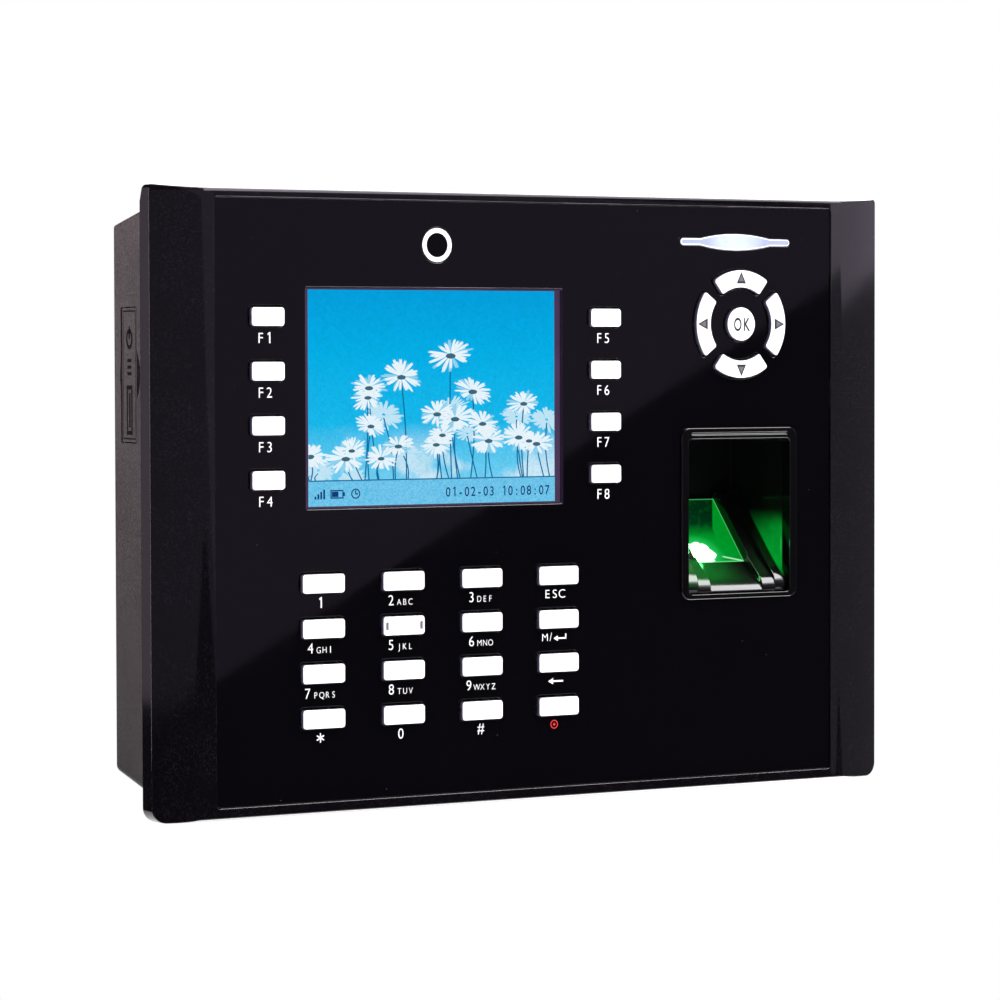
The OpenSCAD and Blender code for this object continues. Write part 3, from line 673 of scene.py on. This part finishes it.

# Marks on the port cover: the mouth of a socket and a switch, and a painted shadow of the seam round its
# edge, in the plane of its outer face
cover_mark = ink("cover_mark_dark", (0.006, 0.005, 0.006, 1))
cover_mark.look(specular_ior_level=0.05)
lean = math.radians(8)  # of the left wall of the case
outward = Vector((-math.cos(lean), math.sin(lean), 0))
to_front = Vector((-math.sin(lean), -math.cos(lean), 0))
cover_mesh = nodes["port_cover"].data
facing = [p for p in cover_mesh.polygons if p.normal.dot(outward) > 0.995]
outermost = max(p.center.dot(outward) for p in facing)
outer_face = [p for p in facing if p.center.dot(outward) > outermost - 0.05 * MM]
corners = [cover_mesh.vertices[i].co for p in outer_face for i in p.vertices]
along_low, along_high = min(c.dot(to_front) for c in corners), max(c.dot(to_front) for c in corners)
face_low, face_high = min(c.z for c in corners), max(c.z for c in corners)
on_cover = Matrix((to_front, outward, Vector((0, 0, 1)))).transposed().to_4x4()
on_cover.translation = outward * (outermost + 0.015 * MM) + to_front * (along_low + along_high) / 2
usb_at, switch_at = centre("usb_socket").z, centre("power_switch").z
port_marks_and_seam_shadow = frame_outlines(0, usb_at, 4.6 * MM, 12 * MM, 1.0 * MM)
port_marks_and_seam_shadow.append(bar_outline(-0.5 * MM, 0.7 * MM, usb_at - 4.2 * MM, usb_at + 4.2 * MM))
port_marks_and_seam_shadow += ring_outlines(0, switch_at, 1.5 * MM, 2.5 * MM, 28)
port_marks_and_seam_shadow.append(bar_outline(-0.5 * MM, 0.5 * MM, switch_at, switch_at + 3.1 * MM))
for i in range(3):
    foot = switch_at - (5.6 + 1.6 * i) * MM
    port_marks_and_seam_shadow.append(bar_outline(-1.6 * MM, 1.6 * MM, foot, foot + 0.8 * MM))
# A thin dark frame just inside the cover's edges: painted shadow of the seam round it
frame_wide = along_high - along_low - 1.0 * MM
frame_tall = face_high - face_low - 1.2 * MM
port_marks_and_seam_shadow += frame_outlines(0, (face_low + face_high) / 2, frame_wide, frame_tall, 0.35 * MM)
placed_piece("cover_marks_with_seam_shadow", port_marks_and_seam_shadow, cover_mark, on_cover, "port_cover")

# Keys -----------------------------------------------------


def white_key(face_y):
    """White key cap with painted shade on its sides, darker deeper into the gap."""
    s = Shader("key_white")
    tone = s.ramp(s.noise(6, 3), [(0.3, (0.86, 0.86, 0.88, 1)), (0.7, (0.92, 0.92, 0.93, 1))])
    y = s.axes()[1]
    # painted shade: the sides go from violet grey just behind the face to near black deeper in
    down_side = s.spread(y, face_y + 0.6 * MM, face_y + 1.3 * MM, 0.0, 1.0)
    side = s.mix(down_side, (0.13, 0.12, 0.18, 1), (0.02, 0.018, 0.028, 1))
    past_face = s.spread(y, face_y + 0.04 * MM, face_y + 0.16 * MM, 0.0, 1.0, True)
    s.look(base_color=s.mix(past_face, tone, side))
    s.look(roughness=s.math("ADD", s.spread(s.noise(3, 4), 0.3, 0.7, 0.2, 0.32), s.scratches(0.1)))
    s.bump(s.noise(0.3, 2), 0.003)
    return s


keys = [n for n in nodes if n.startswith("key_") and n not in ("key_mat", "key_board")]
arrows = [n for n in nodes if n.startswith("nav_")]
cap = white_key(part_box("nav_ok")[0].y)
for name in keys + arrows:
    paint(name, cap)
    soften(name, 0.2)

# Printed legends ------------------------------------------

# The white and red print carry painted light, given off as emission, that brightens them
white_ink = ink("legend_white", (0.86, 0.86, 0.86, 1), 0.12)
red_ink = ink("legend_red", (0.5, 0.015, 0.015, 1), 0.15)
dark_ink = ink("legend_dark", (0.008, 0.007, 0.01, 1))
grey_ink = ink("legend_grey", (0.11, 0.1, 0.125, 1))
LETTERS = {"2": "ABC", "3": "DEF", "4": "GHI", "5": "JKL", "6": "MNO", "7": "PQRS", "8": "TUV", "9": "WXYZ"}
# Millimetres by which a printed number stands beside the middle of its key
NUDGE = {
    "0": -0.4, "1": -0.3, "2": -0.3, "3": 0.25, "4": -0.4,
    "5": -0.35, "6": 0.25, "7": -0.4, "8": -0.3, "9": 0.25,
}


def digit_part(text, cell=2.9):
    """A printed number or key name in the large size."""
    return (text, 2.65, 0.94, cell)


lines = []


def print_under(key_name, parts, right_mm, down_mm):
    """Adds words whose middle is beside that of a key and whose foot is below it."""
    at = centre(key_name)
    lines.append((parts, at.x + right_mm * MM, at.z - down_mm * MM))


for i in range(1, 9):
    print_under("key_f%d" % i, [digit_part("F%d" % i, 2.25)], -0.3 if i < 5 else -0.2, 6.35)
for digit in "1234567890":
    parts = [digit_part(digit)]
    if digit in LETTERS:
        parts.append((LETTERS[digit], 1.6, 0.88, 1.62))
    print_under("key_" + digit, parts, NUDGE[digit], 5.95)
print_under("key_star", [("*", 2.7, 1, 2.7)], -0.5, 6.0)
print_under("key_hash", [("#", 2.8, 0.92, 2.8)], 0.1, 5.75)
print_under("key_esc", [("ESC", 2.25, 1.04, 2.12)], -0.55, 5.7)
print_under("key_menu", [("M", 2.0, 0.95, 1.8), ("/", 2.2, 0.9, 1.6)], -2.6, 5.5)
lettering("panel_legends", lines, white_ink, 0, weight=-0.03)

menu, back = centre("key_menu"), centre("key_back")
signs = arrow_outlines(menu.x + 0.95 * MM, menu.z - 4.9 * MM, 3.8 * MM, 0.36 * MM, 1.1 * MM)
signs.append(bar_outline(menu.x + 2.5 * MM, menu.x + 2.85 * MM, menu.z - 4.9 * MM, menu.z - 3.8 * MM))
signs += arrow_outlines(back.x - 0.35 * MM, back.z - 4.7 * MM, 4.4 * MM, 0.4 * MM, 1.25 * MM)
flat_piece("panel_signs", signs, white_ink, 0)
lens = centre("camera_window")
flat_piece("camera_ring", ring_outlines(lens.x, lens.z, 3.0 * MM, 4.15 * MM, 64), white_ink, 0)
red_x, red_z = centre("key_power").x - 0.8 * MM, centre("key_power").z - 4.6 * MM
mark = ring_outlines(red_x, red_z, 0.85 * MM, 1.1 * MM, 32)
mark.append(disc_outline(red_x, red_z, 0.36 * MM, steps=20))
flat_piece("power_sign", mark, red_ink, 0)

ok_low, ok_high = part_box("nav_ok")
ok_middle = (ok_low + ok_high) / 2
key_depth = (ok_low.y - PANEL_Y) / MM
ok_line = ([("OK", 3.4, 0.66, 2.85)], ok_middle.x + 0.3 * MM, ok_middle.z - 1.7 * MM)
lettering("ok_print", [ok_line], dark_ink, key_depth, "nav_ok", 0.11)
ring_mid = 11.7 * MM  # radius on which the arrow keys lie
for name, turn in (("nav_right", 0), ("nav_up", 90), ("nav_left", 180), ("nav_down", 270)):
    along = Vector((math.cos(math.radians(turn)), math.sin(math.radians(turn))))
    at = Vector((ok_middle.x, ok_middle.z)) + along * ring_mid
    flat_piece(name + "_outline", [arrowhead(at, along, 1.75 * MM)], dark_ink, key_depth, 0.012, name)
    flat_piece(name + "_arrow", [arrowhead(at, along, 0.95 * MM)], grey_ink, key_depth - 0.012, 0.01, name)
# Grey bars over the two nubs of key 5: painted shade that makes the nubs show
five = centre("key_5")
rib_shade_bars = []
for side in (-1, 1):
    rib_x = five.x + side * 4.8 * MM
    rib_shade_bars.append(bar_outline(rib_x - 0.32 * MM, rib_x + 0.32 * MM, five.z - 0.95 * MM, five.z + 0.95 * MM))
flat_piece("key_5_painted_rib_shade", rib_shade_bars, grey_ink, key_depth - 0.2, 0.01, "key_5")

# Light bar ------------------------------------------------


def milky_bar():
    """Lit milky plastic, brightest in the middle."""
    s = Shader("light_bar_milky")
    low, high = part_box("light_bar")
    off_middle = s.math("ABSOLUTE", s.math("SUBTRACT", s.axes()[0], (low.x + high.x) / 2))
    fade = s.ramp(s.spread(off_middle, 0, (high.x - low.x) / 2, 0.0, 1.0), [
        (0.0, srgb(228, 242, 250)),
        (0.28, srgb(214, 226, 240)),
        (0.5, srgb(170, 180, 212)),
        (1.0, srgb(160, 170, 204)),
    ])
    s.look(base_color=(0.12, 0.13, 0.16, 1), roughness=0.25, emission_color=fade,
           emission_strength=s.spread(s.noise(2.5, 3), 0.3, 0.7, 0.82, 0.95))
    return s


bar_edge = Shader("light_bar_edge")
bar_edge.look(base_color=(0.5, 0.5, 0.55, 1), emission_color=srgb(250, 252, 255), emission_strength=0.9,
              roughness=bar_edge.spread(bar_edge.noise(1, 2), 0.3, 0.7, 0.2, 0.3))
paint("light_bar", milky_bar(), bar_edge)
soften("light_bar", 0.24, 2, edge_slot=1)

# Display --------------------------------------------------

area_low, area_high = picture_area()
wide, tall = area_high.x - area_low.x, area_high.z - area_low.z
strip = area_low.z + tall * 0.115  # top of the strip along the foot of the picture
# Backs of the picture's layers, in millimetres behind the panel face
SKY, FAR_PETALS, STEMS, SHADED_PETALS, PETALS = 1.58, 1.565, 1.555, 1.53, 1.5
HEARTS, STRIP, LINE, SIGNS = 1.47, 1.46, 1.44, 1.43


def display_border():
    """Border of the display, with painted purple light given off as emission, dark above and below the
    picture.
    """
    s = Shader("display_surround")
    z = s.axes()[2]
    beyond = s.math("MAXIMUM", s.math("SUBTRACT", z, area_high.z), s.math("SUBTRACT", area_low.z, z))
    dark = s.spread(beyond, 0.35 * MM, 0.5 * MM, 0.0, 1.0)
    painted_purple_light = s.ramp(s.noise(20, 3), [(0.3, srgb(66, 47, 76)), (0.7, srgb(80, 60, 92))])
    s.look(base_color=(0.002, 0.002, 0.003, 1), emission_color=s.mix(dark, painted_purple_light, srgb(21, 18, 25)),
           emission_strength=1.0, specular_ior_level=0.1,
           roughness=s.spread(s.noise(4, 3), 0.3, 0.7, 0.3, 0.4))
    return s


paint("display_panel", display_border())
whole_picture = bar_outline(area_low.x, area_high.x, area_low.z, area_high.z)
flat_piece("picture_sky", [whole_picture], display_picture(), SKY, 0.01)


def spot(u, v):
    """Point of the picture from shares of its width and height."""
    return area_low.x + wide * u, area_low.z + tall * v


def clip_to_picture(outline):
    """Cuts an outline at the picture's edges and at the strip along its foot."""
    sides = ((0, area_low.x, 1), (0, area_high.x, -1), (1, strip, 1), (1, area_high.z, -1))
    for axis, limit, sign in sides:
        kept = []
        for i, p in enumerate(outline):
            q = outline[(i + 1) % len(outline)]
            inside_p = sign * (p[axis] - limit) >= 0
            inside_q = sign * (q[axis] - limit) >= 0
            if inside_p:
                kept.append(p)
            if inside_p != inside_q:
                t = (limit - p[axis]) / (q[axis] - p[axis])
                kept.append((p[0] + t * (q[0] - p[0]), p[1] + t * (q[1] - p[1])))
        outline = kept
        if len(outline) < 3:
            return None
    return outline


def petal(x, z, angle, length, width, squash, lean):
    """Blunt notched petal from a flower's heart, seen at a slant."""
    half_widths = ((0.1, 0.2), (0.4, 0.75), (0.72, 1.0), (0.95, 0.8), (1.02, 0.45), (0.93, 0.12))
    outline = [(along * length, half * width) for along, half in half_widths]
    outline += [(a, -h) for a, h in reversed(outline)]
    turned = []
    for a, h in outline:
        px = a * math.cos(angle) - h * math.sin(angle)
        pz = (a * math.sin(angle) + h * math.cos(angle)) * squash
        across = px * math.cos(lean) - pz * math.sin(lean)
        up = px * math.sin(lean) + pz * math.cos(lean)
        turned.append((x + across, z + up))
    return turned


def stem(x, z, foot, bend, width):
    """Thin curved stem from a flower down to the strip."""
    left, right = [], []
    for i in range(9):
        t = i / 8
        at = x + (foot - x) * t + bend * math.sin(math.pi * t)
        level = z + (strip - z) * t
        left.append((at - width / 2, level))
        right.append((at + width / 2, level))
    return left + right[::-1]


petal_white = light_only("petal_white", srgb(238, 249, 254))
petal_shade = light_only("petal_shade", srgb(150, 214, 240))
petal_far = light_only("petal_far", srgb(196, 233, 248))
heart_dark = light_only("flower_heart", srgb(62, 104, 122))
stem_blue = light_only("stem_blue", srgb(12, 112, 160))
# Flowers: place and size in shares of the picture, and whether they are distant. Each clump has three,
# and four more stand above the rest.
clumps = [
    (0.06, 0.24), (0.18, 0.21), (0.29, 0.45), (0.34, 0.31), (0.5, 0.3),
    (0.56, 0.45), (0.68, 0.34), (0.83, 0.4), (0.95, 0.31),
]
flowers = []
for u, v in clumps:
    for i in range(3):
        beside, above = chance.uniform(-0.06, 0.06), chance.uniform(-0.1, 0.08)
        flowers.append((u + beside, v + above, chance.uniform(0.058, 0.08), i == 0))
flowers.append((0.57, 0.7, 0.092, False))
flowers.append((0.37, 0.6, 0.08, False))
flowers.append((0.24, 0.55, 0.075, False))
flowers.append((0.66, 0.53, 0.082, False))
flowers.sort(key=lambda f: (not f[3], f[2]))
pale, shaded, far, hearts, stems = [], [], [], [], []
for u, v, size, distant in flowers:
    x, z = spot(u, v)
    r = size * wide
    squash = chance.uniform(0.52, 0.8)
    lean = chance.uniform(-0.35, 0.35)
    for layer, reach in ((0, 1.0), (1, 0.86)):
        count = chance.randint(15, 19)
        for i in range(count):
            angle = 2 * math.pi * (i + 0.5 * layer + chance.uniform(-0.3, 0.3)) / count
            length = r * reach * chance.uniform(0.84, 1.1)
            width = r * chance.uniform(0.06, 0.09)
            shape = clip_to_picture(petal(x, z, angle, length, width, squash, lean))
            if shape and distant:
                far.append(shape)
            elif shape:
                (shaded if chance.random() < 0.3 else pale).append(shape)
    heart = clip_to_picture(disc_outline(x, z - r * 0.06, r * 0.22, r * 0.1, 20))
    if heart and not distant:
        hearts.append(heart)
    if z - r * 0.2 > strip:
        stem_foot = x + chance.uniform(-1, 3) * MM
        bend = chance.uniform(-0.8, 0.8) * MM
        stems.append(clip_to_picture(stem(x, z - r * 0.15, stem_foot, bend, 0.36 * MM)))
flat_piece("picture_petals_far", far, petal_far, FAR_PETALS, 0.005)
flat_piece("picture_stems", [s for s in stems if s], stem_blue, STEMS, 0.005)
flat_piece("picture_petals_shade", shaded, petal_shade, SHADED_PETALS, 0.01)
flat_piece("picture_petals", pale, petal_white, PETALS, 0.01)
flat_piece("picture_hearts", hearts, heart_dark, HEARTS, 0.01)

strip_light = Shader("picture_strip")
blues = [(0.3, srgb(76, 184, 230)), (0.7, srgb(138, 212, 242))]
strip_light.look(base_color=BLACK, roughness=0.5, specular_ior_level=0.0,
                 emission_color=strip_light.ramp(strip_light.noise(0.4, 2, 0.7), blues),
                 emission_strength=1.0)
digits_blue = light_only("strip_digits", srgb(10, 62, 118))
strip_area = bar_outline(area_low.x, area_high.x, area_low.z, strip)
line_area = bar_outline(area_low.x, area_high.x, strip, strip + 0.3 * MM)
flat_piece("picture_strip", [strip_area], strip_light, STRIP, 0.01)
flat_piece("picture_line", [line_area], stem_blue, LINE, 0.01)
foot = area_low.z + 1.75 * MM
clock_line = ([("01-02-03 10:08:07", 2.4, 0.85, 1.8)], area_high.x - 16.6 * MM, foot)
lettering("picture_digits", [clock_line], digits_blue, SIGNS, weight=0.03)


def icon_bar(x0, x1, z0, z1):
    """Bar of an icon, in millimetres from the left foot of the row of icons."""
    return bar_outline(left + x0 * MM, left + x1 * MM, foot + z0 * MM, foot + z1 * MM)


left = area_low.x + 1.6 * MM
icons = [icon_bar(0.8 * i, 0.8 * i + 0.5, 0, 0.7 + 0.55 * i) for i in range(4)]
icons += frame_outlines(left + 6.2 * MM, foot + 1.15 * MM, 3.6 * MM, 2.1 * MM, 0.3 * MM)
icons.append(icon_bar(4.8, 6.6, 0.5, 1.8))
icons.append(icon_bar(8.0, 8.4, 0.7, 1.6))
icons += ring_outlines(left + 11.4 * MM, foot + 1.2 * MM, 0.95 * MM, 1.25 * MM, 24)
icons.append(icon_bar(11.25, 11.55, 1.1, 2.0))
icons.append(icon_bar(11.25, 12.05, 1.0, 1.3))
flat_piece("picture_icons", icons, digits_blue, SIGNS, 0.01)

# Finger well ----------------------------------------------

# Greens of the lamp's light painted into the glass of the sensor
deep_green, mid_green, clear_green = (0.0, 0.013, 0.003, 1), (0.0, 0.24, 0.012, 1), (0.0, 0.3, 0.02, 1)
lamp_x, lamp_z = prism_low.x + 4.2 * MM, prism_low.z + 2.2 * MM


def lit_prism():
    """Glass with the green light of the lamp behind it painted in as emission: dark at the upper left, clear
    to the right of its fold.
    """
    s = Shader("prism_glass")
    x, _, z = s.axes()[:3]
    cloud = s.noise(1.6, 4, 0.6)
    lower = s.spread(z, prism_low.z + 5.5 * MM, prism_low.z + 10.5 * MM, 1.0, 0.0, True)
    uneven = s.spread(cloud, 0.3, 0.7, -0.15, 0.15)
    left_part = s.mix(s.math("ADD", lower, uneven), deep_green, mid_green)
    side_glow = s.spread(x, prism_low.x + 1.4 * MM, prism_low.x + 2.2 * MM, 0.14, 0.0)
    left_part = s.mix(side_glow, left_part, mid_green)
    right_part = s.mix(s.spread(cloud, 0.3, 0.7, 0.0, 1.0), clear_green, mid_green)
    fold_x = s.spread(z, prism_high.z, prism_high.z - 7.7 * MM,
                      prism_high.x - 0.3 * MM, prism_high.x - 4.85 * MM)
    past_fold = s.spread(s.math("SUBTRACT", x, fold_x), -0.15 * MM, 0.15 * MM, 0.0, 1.0)
    below_fold = s.spread(z, prism_low.z + 5 * MM, prism_low.z + 8 * MM, 1.0, 0.0, True)
    lit = s.mix(s.math("MAXIMUM", past_fold, below_fold), left_part, right_part)
    # painted light of the lamp: a ragged white patch with a green fringe
    off_x = s.math("DIVIDE", s.math("SUBTRACT", x, lamp_x), 4.6 * MM)
    off_z = s.math("DIVIDE", s.math("SUBTRACT", z, lamp_z), 3.0 * MM)
    away = s.math("SQRT", s.math("ADD", s.product(off_x, off_x), s.product(off_z, off_z)))
    ragged = s.math("ADD", away, s.spread(s.noise(2.6, 3), 0.3, 0.7, -0.14, 0.14))
    lit = s.mix(s.spread(away, 0.95, 1.75, 0.6, 0.0, True), lit, (0.02, 0.55, 0.12, 1))
    lit = s.mix(s.spread(ragged, 0.88, 1.04, 1.0, 0.0, True), lit, (2.2, 2.6, 2.3, 1))
    # a painted bright streak runs from the lamp into the lower right corner
    start_x = prism_high.x - 6.2 * MM
    run = s.spread(x, start_x, prism_high.x, 0.0, 1.0)
    streak_z = s.spread(x, start_x, prism_high.x, prism_low.z + 1.45 * MM, prism_low.z + 0.15 * MM)
    off_streak = s.math("ABSOLUTE", s.math("SUBTRACT", z, streak_z))
    thin = s.spread(off_streak, 0.12 * MM, 0.26 * MM, 1.0, 0.0)
    lit = s.mix(s.product(thin, s.spread(run, 0.0, 0.1, 0.0, 0.8)), lit, (0.55, 0.95, 0.65, 1))
    # painted highlights along the right, lower and upper edges
    edge_right = s.spread(x, prism_high.x - 0.3 * MM, prism_high.x - 0.16 * MM, 0.0, 0.6)
    edge_foot = s.spread(z, prism_low.z + 0.34 * MM, prism_low.z + 0.2 * MM, 0.0, 0.85)
    edge_top = s.spread(z, prism_high.z - 0.3 * MM, prism_high.z - 0.16 * MM, 0.0, 0.4)
    edges = s.math("MAXIMUM", edge_right, s.math("MAXIMUM", edge_foot, edge_top))
    lit = s.mix(edges, lit, (0.1, 0.75, 0.2, 1))
    s.look(base_color=(0.0, 0.02, 0.006, 1), emission_color=lit, emission_strength=1.0,
           roughness=s.spread(s.noise(5, 4), 0.3, 0.7, 0.02, 0.07))
    return s


paint("sensor_prism", lit_prism())
soften("sensor_prism", 0)

# Inside and behind ----------------------------------------

inner = moulded("inner_black", (0.012, 0.012, 0.013, 1), (0.022, 0.022, 0.024, 1), 0.5, 0.3, 0.02)
board = circuit_board("board_green")
sheet = brushed("sheet_steel", (0.62, 0.62, 0.64, 1), 0.3, (1, 1, 0.05))
plate = brushed("plate_zinc", (0.5, 0.51, 0.53, 1), 0.34, (0.05, 1, 1), (0.4, 0.39, 0.36, 1))
screw = brushed("screw_zinc", (0.55, 0.55, 0.57, 1), 0.28, (1, 0.2, 1))
silicone = moulded("mat_silicone", (0.5, 0.51, 0.53, 1), (0.62, 0.63, 0.65, 1), 0.6, 0.5, 0.01)
film = moulded("cable_film", (0.62, 0.56, 0.42, 1), (0.75, 0.71, 0.6, 1), 0.35, 0.6, 0.01)
slider = moulded("slider_white", (0.7, 0.7, 0.7, 1), (0.82, 0.82, 0.82, 1), 0.4, 0.3, 0.01)
terminals = moulded("terminal_green", (0.02, 0.2, 0.05, 1), (0.04, 0.3, 0.08, 1), 0.4, 0.3, 0.012)
# Material and rounding in millimetres of each node
for name, shader, edge in (
    ("sensor_housing", inner, 0.1),
    ("sensor_board", board, 0),
    ("key_mat", silicone, 0),
    ("key_board", board, 0),
    ("display_frame", sheet, 0.05),
    ("camera_module", inner, 0.1),
    ("main_board", board, 0),
    ("ribbon_cables", film, 0),
    ("speaker", inner, 0.1),
    ("usb_socket", sheet, 0.05),
    ("power_switch", inner, 0.08),
    ("switch_slider", slider, 0.1),
    ("network_socket", sheet, 0.08),
    ("power_socket", inner, 0.1),
    ("terminal_block", terminals, 0.1),
    ("cable_tray", inner, 0.1),
    ("wall_plate", plate, 0.15),
    ("case_screws", screw, 0.2),
    ("board_screws", screw, 0.15),
    ("plate_screws", screw, 0.15),
):
    paint(name, shader)
    soften(name, edge, 2)

# Stage ----------------------------------------------------

floor_pale = Shader("floor_pale")
mottle = [(0.3, (0.82, 0.82, 0.82, 1)), (0.7, (0.86, 0.86, 0.86, 1))]
floor_pale.look(base_color=floor_pale.ramp(floor_pale.noise(400, 3), mottle), roughness=0.9)
bpy.ops.mesh.primitive_plane_add(size=3.4, location=(0.2, 0.2, cad_low.z - 0.55))
floor = bpy.context.object
floor.name = "studio_floor"
floor.data.materials.append(floor_pale.material)

world = bpy.data.worlds.new("studio")
bpy.context.scene.world = world
world.use_nodes = True
tree = world.node_tree
path = tree.nodes.new("ShaderNodeLightPath")


def surroundings(colour, strength):
    """Even light from all round."""
    node = tree.nodes.new("ShaderNodeBackground")
    node.inputs["Color"].default_value = colour
    node.inputs["Strength"].default_value = strength
    return node


def by_ray(kind, usual, special):
    """The usual surroundings, and special ones for one kind of ray."""
    choice = tree.nodes.new("ShaderNodeMixShader")
    tree.links.new(path.outputs[kind], choice.inputs[0])
    tree.links.new(usual.outputs[0], choice.inputs[1])
    tree.links.new(special.outputs[0], choice.inputs[2])
    return choice


white = tree.nodes["Background"]
white.inputs["Color"].default_value = (1, 1, 1, 1)
dim, dark = surroundings((0.93, 0.95, 1, 1), 0.3), surroundings((0.95, 0.95, 1, 1), 0.012)
all_round = by_ray("Is Camera Ray", by_ray("Is Glossy Ray", dim, dark), white)
tree.links.new(all_round.outputs[0], tree.nodes["World Output"].inputs["Surface"])

middle = (cad_low + cad_high) / 2


def softbox(name, place, aim, wide_m, high_m, radiance, colour=(1, 1, 1)):
    """Evenly bright rectangle that faces a point."""
    data = bpy.data.lights.new(name, "AREA")
    data.shape = "RECTANGLE"
    data.size, data.size_y = wide_m, high_m
    data.energy = radiance * math.pi * wide_m * high_m
    data.color = colour
    light = bpy.data.objects.new(name, data)
    light.location = place
    light.rotation_euler = (Vector(aim) - Vector(place)).to_track_quat("-Z", "Y").to_euler()
    light.visible_camera = False
    bpy.context.scene.collection.objects.link(light)
    return light


def card(name, left_end, right_end, height_m, radiance, colour, down=False):
    """Dim upright card seen in the gloss, its straight lower (or upper) edge between two points."""
    left_end, right_end = Vector(left_end), Vector(right_end)
    along = (right_end - left_end).normalized()
    half_way = (left_end + right_end) / 2
    faces = Vector((-half_way.x, PANEL_Y - half_way.y, 0)).normalized()
    faces = (faces - along * faces.dot(along)).normalized()
    up = faces.cross(along)
    if up.z < 0:
        up = -up
    light = softbox(name, (0, 0, 0), middle, (right_end - left_end).length, height_m, radiance, colour)
    axis_z = -faces
    axis_x = up.cross(axis_z)
    light.matrix_world = (Matrix.Translation(half_way + up * (-height_m / 2 if down else height_m / 2))
                          @ Matrix((axis_x, up, axis_z)).transposed().to_4x4())
    return light


softbox("softbox_top", (0.95, -1.15, 1.55), middle, 1.2, 1.7, 15)
softbox("softbox_left", (-1.7, 0.35, 0.35), middle, 0.9, 1.2, 7.6, (1, 0.97, 0.96))
softbox("softbox_above", (0.0, 0.35, 1.3), middle, 1.4, 0.5, 3.5)
softbox("softbox_back", (1.1, 1.55, 0.9), middle, 1.5, 1.3, 4, (1, 0.95, 1))
softbox("softbox_low", (0.27, -0.02, -0.45), (0, PANEL_Y, 0), 0.5, 0.35, 12)
softbox("softbox_strip", (0.68, -1.08, 0.5), (0, PANEL_Y, cad_high.z), 0.7, 0.26, 5, (0.95, 0.86, 1.0))

# Dim cards that the gloss mirrors at the camera's angle: one slantwise over the front, one for each wing
GREY_VIOLET = (0.85, 0.68, 1.0)
slant = Vector((0.4041, 0.2313, 0.2993)).normalized()
slant_middle = Vector((0.8135, PANEL_Y - 1.3667, -0.0564))
card("card_panel", slant_middle - slant * 0.26, slant_middle + slant * 0.3, 1.1, 0.21, GREY_VIOLET)
card("card_left_wing", (-1.4, PANEL_Y - 2.1, -0.251), (0.79, PANEL_Y - 1.78, -0.19), 0.75, 0.17, GREY_VIOLET)
card("card_behind_left", (-1.4, 0.9, -0.19), (-0.5, 1.8, -0.19), 0.9, 0.36, (1, 0.8, 1))
card("card_far_left", (-2.0, PANEL_Y - 0.1, -0.5), (-1.35, PANEL_Y - 1.6, -0.5), 1.4, 0.4, GREY_VIOLET)
line_from, line_to = (1.3, PANEL_Y - 1.6, 0.065), (2.05, PANEL_Y - 0.6, 0.1)
card("card_right_wing", line_from, line_to, 0.6, 1.35, (0.92, 0.79, 1.0))
card("card_right_low", line_from, line_to, 0.5, 0.2, (0.95, 0.92, 1.0), down=True)

# Lamp of the sensor, whose light falls on the guide
lamp = bpy.data.lights.new("sensor_lamp", "POINT")
lamp.energy = 0.006
lamp.color = (0.1, 1.0, 0.2)
lamp.shadow_soft_size = 1.5 * MM
lamp_holder = bpy.data.objects.new("sensor_lamp", lamp)
lamp_holder.location = (lamp_x, prism_low.y + 0.2 * MM, lamp_z + 1.5 * MM)
lamp_holder.visible_camera = False
bpy.context.scene.collection.objects.link(lamp_holder)

# Camera ---------------------------------------------------

yaw, pitch, roll = math.radians(31.09), math.radians(2.04), math.radians(-0.134)
ahead = Vector((math.cos(pitch) * math.sin(yaw), math.cos(pitch) * math.cos(yaw), -math.sin(pitch)))
level = Vector((math.cos(yaw), -math.sin(yaw), 0))
down = ahead.cross(level)
right = math.cos(roll) * level - math.sin(roll) * down
down = math.sin(roll) * level + math.cos(roll) * down
data = bpy.data.cameras.new("camera")
data.lens = 145.39
data.sensor_width = 36
camera = bpy.data.objects.new("camera", data)
bpy.context.scene.collection.objects.link(camera)
place = Vector((-0.5283, PANEL_Y - 0.8585, 0.0349))
camera.matrix_world = Matrix.Translation(place) @ Matrix((right, -down, -ahead)).transposed().to_4x4()
bpy.context.scene.camera = camera
bpy.context.scene.view_settings.view_transform = "Standard"
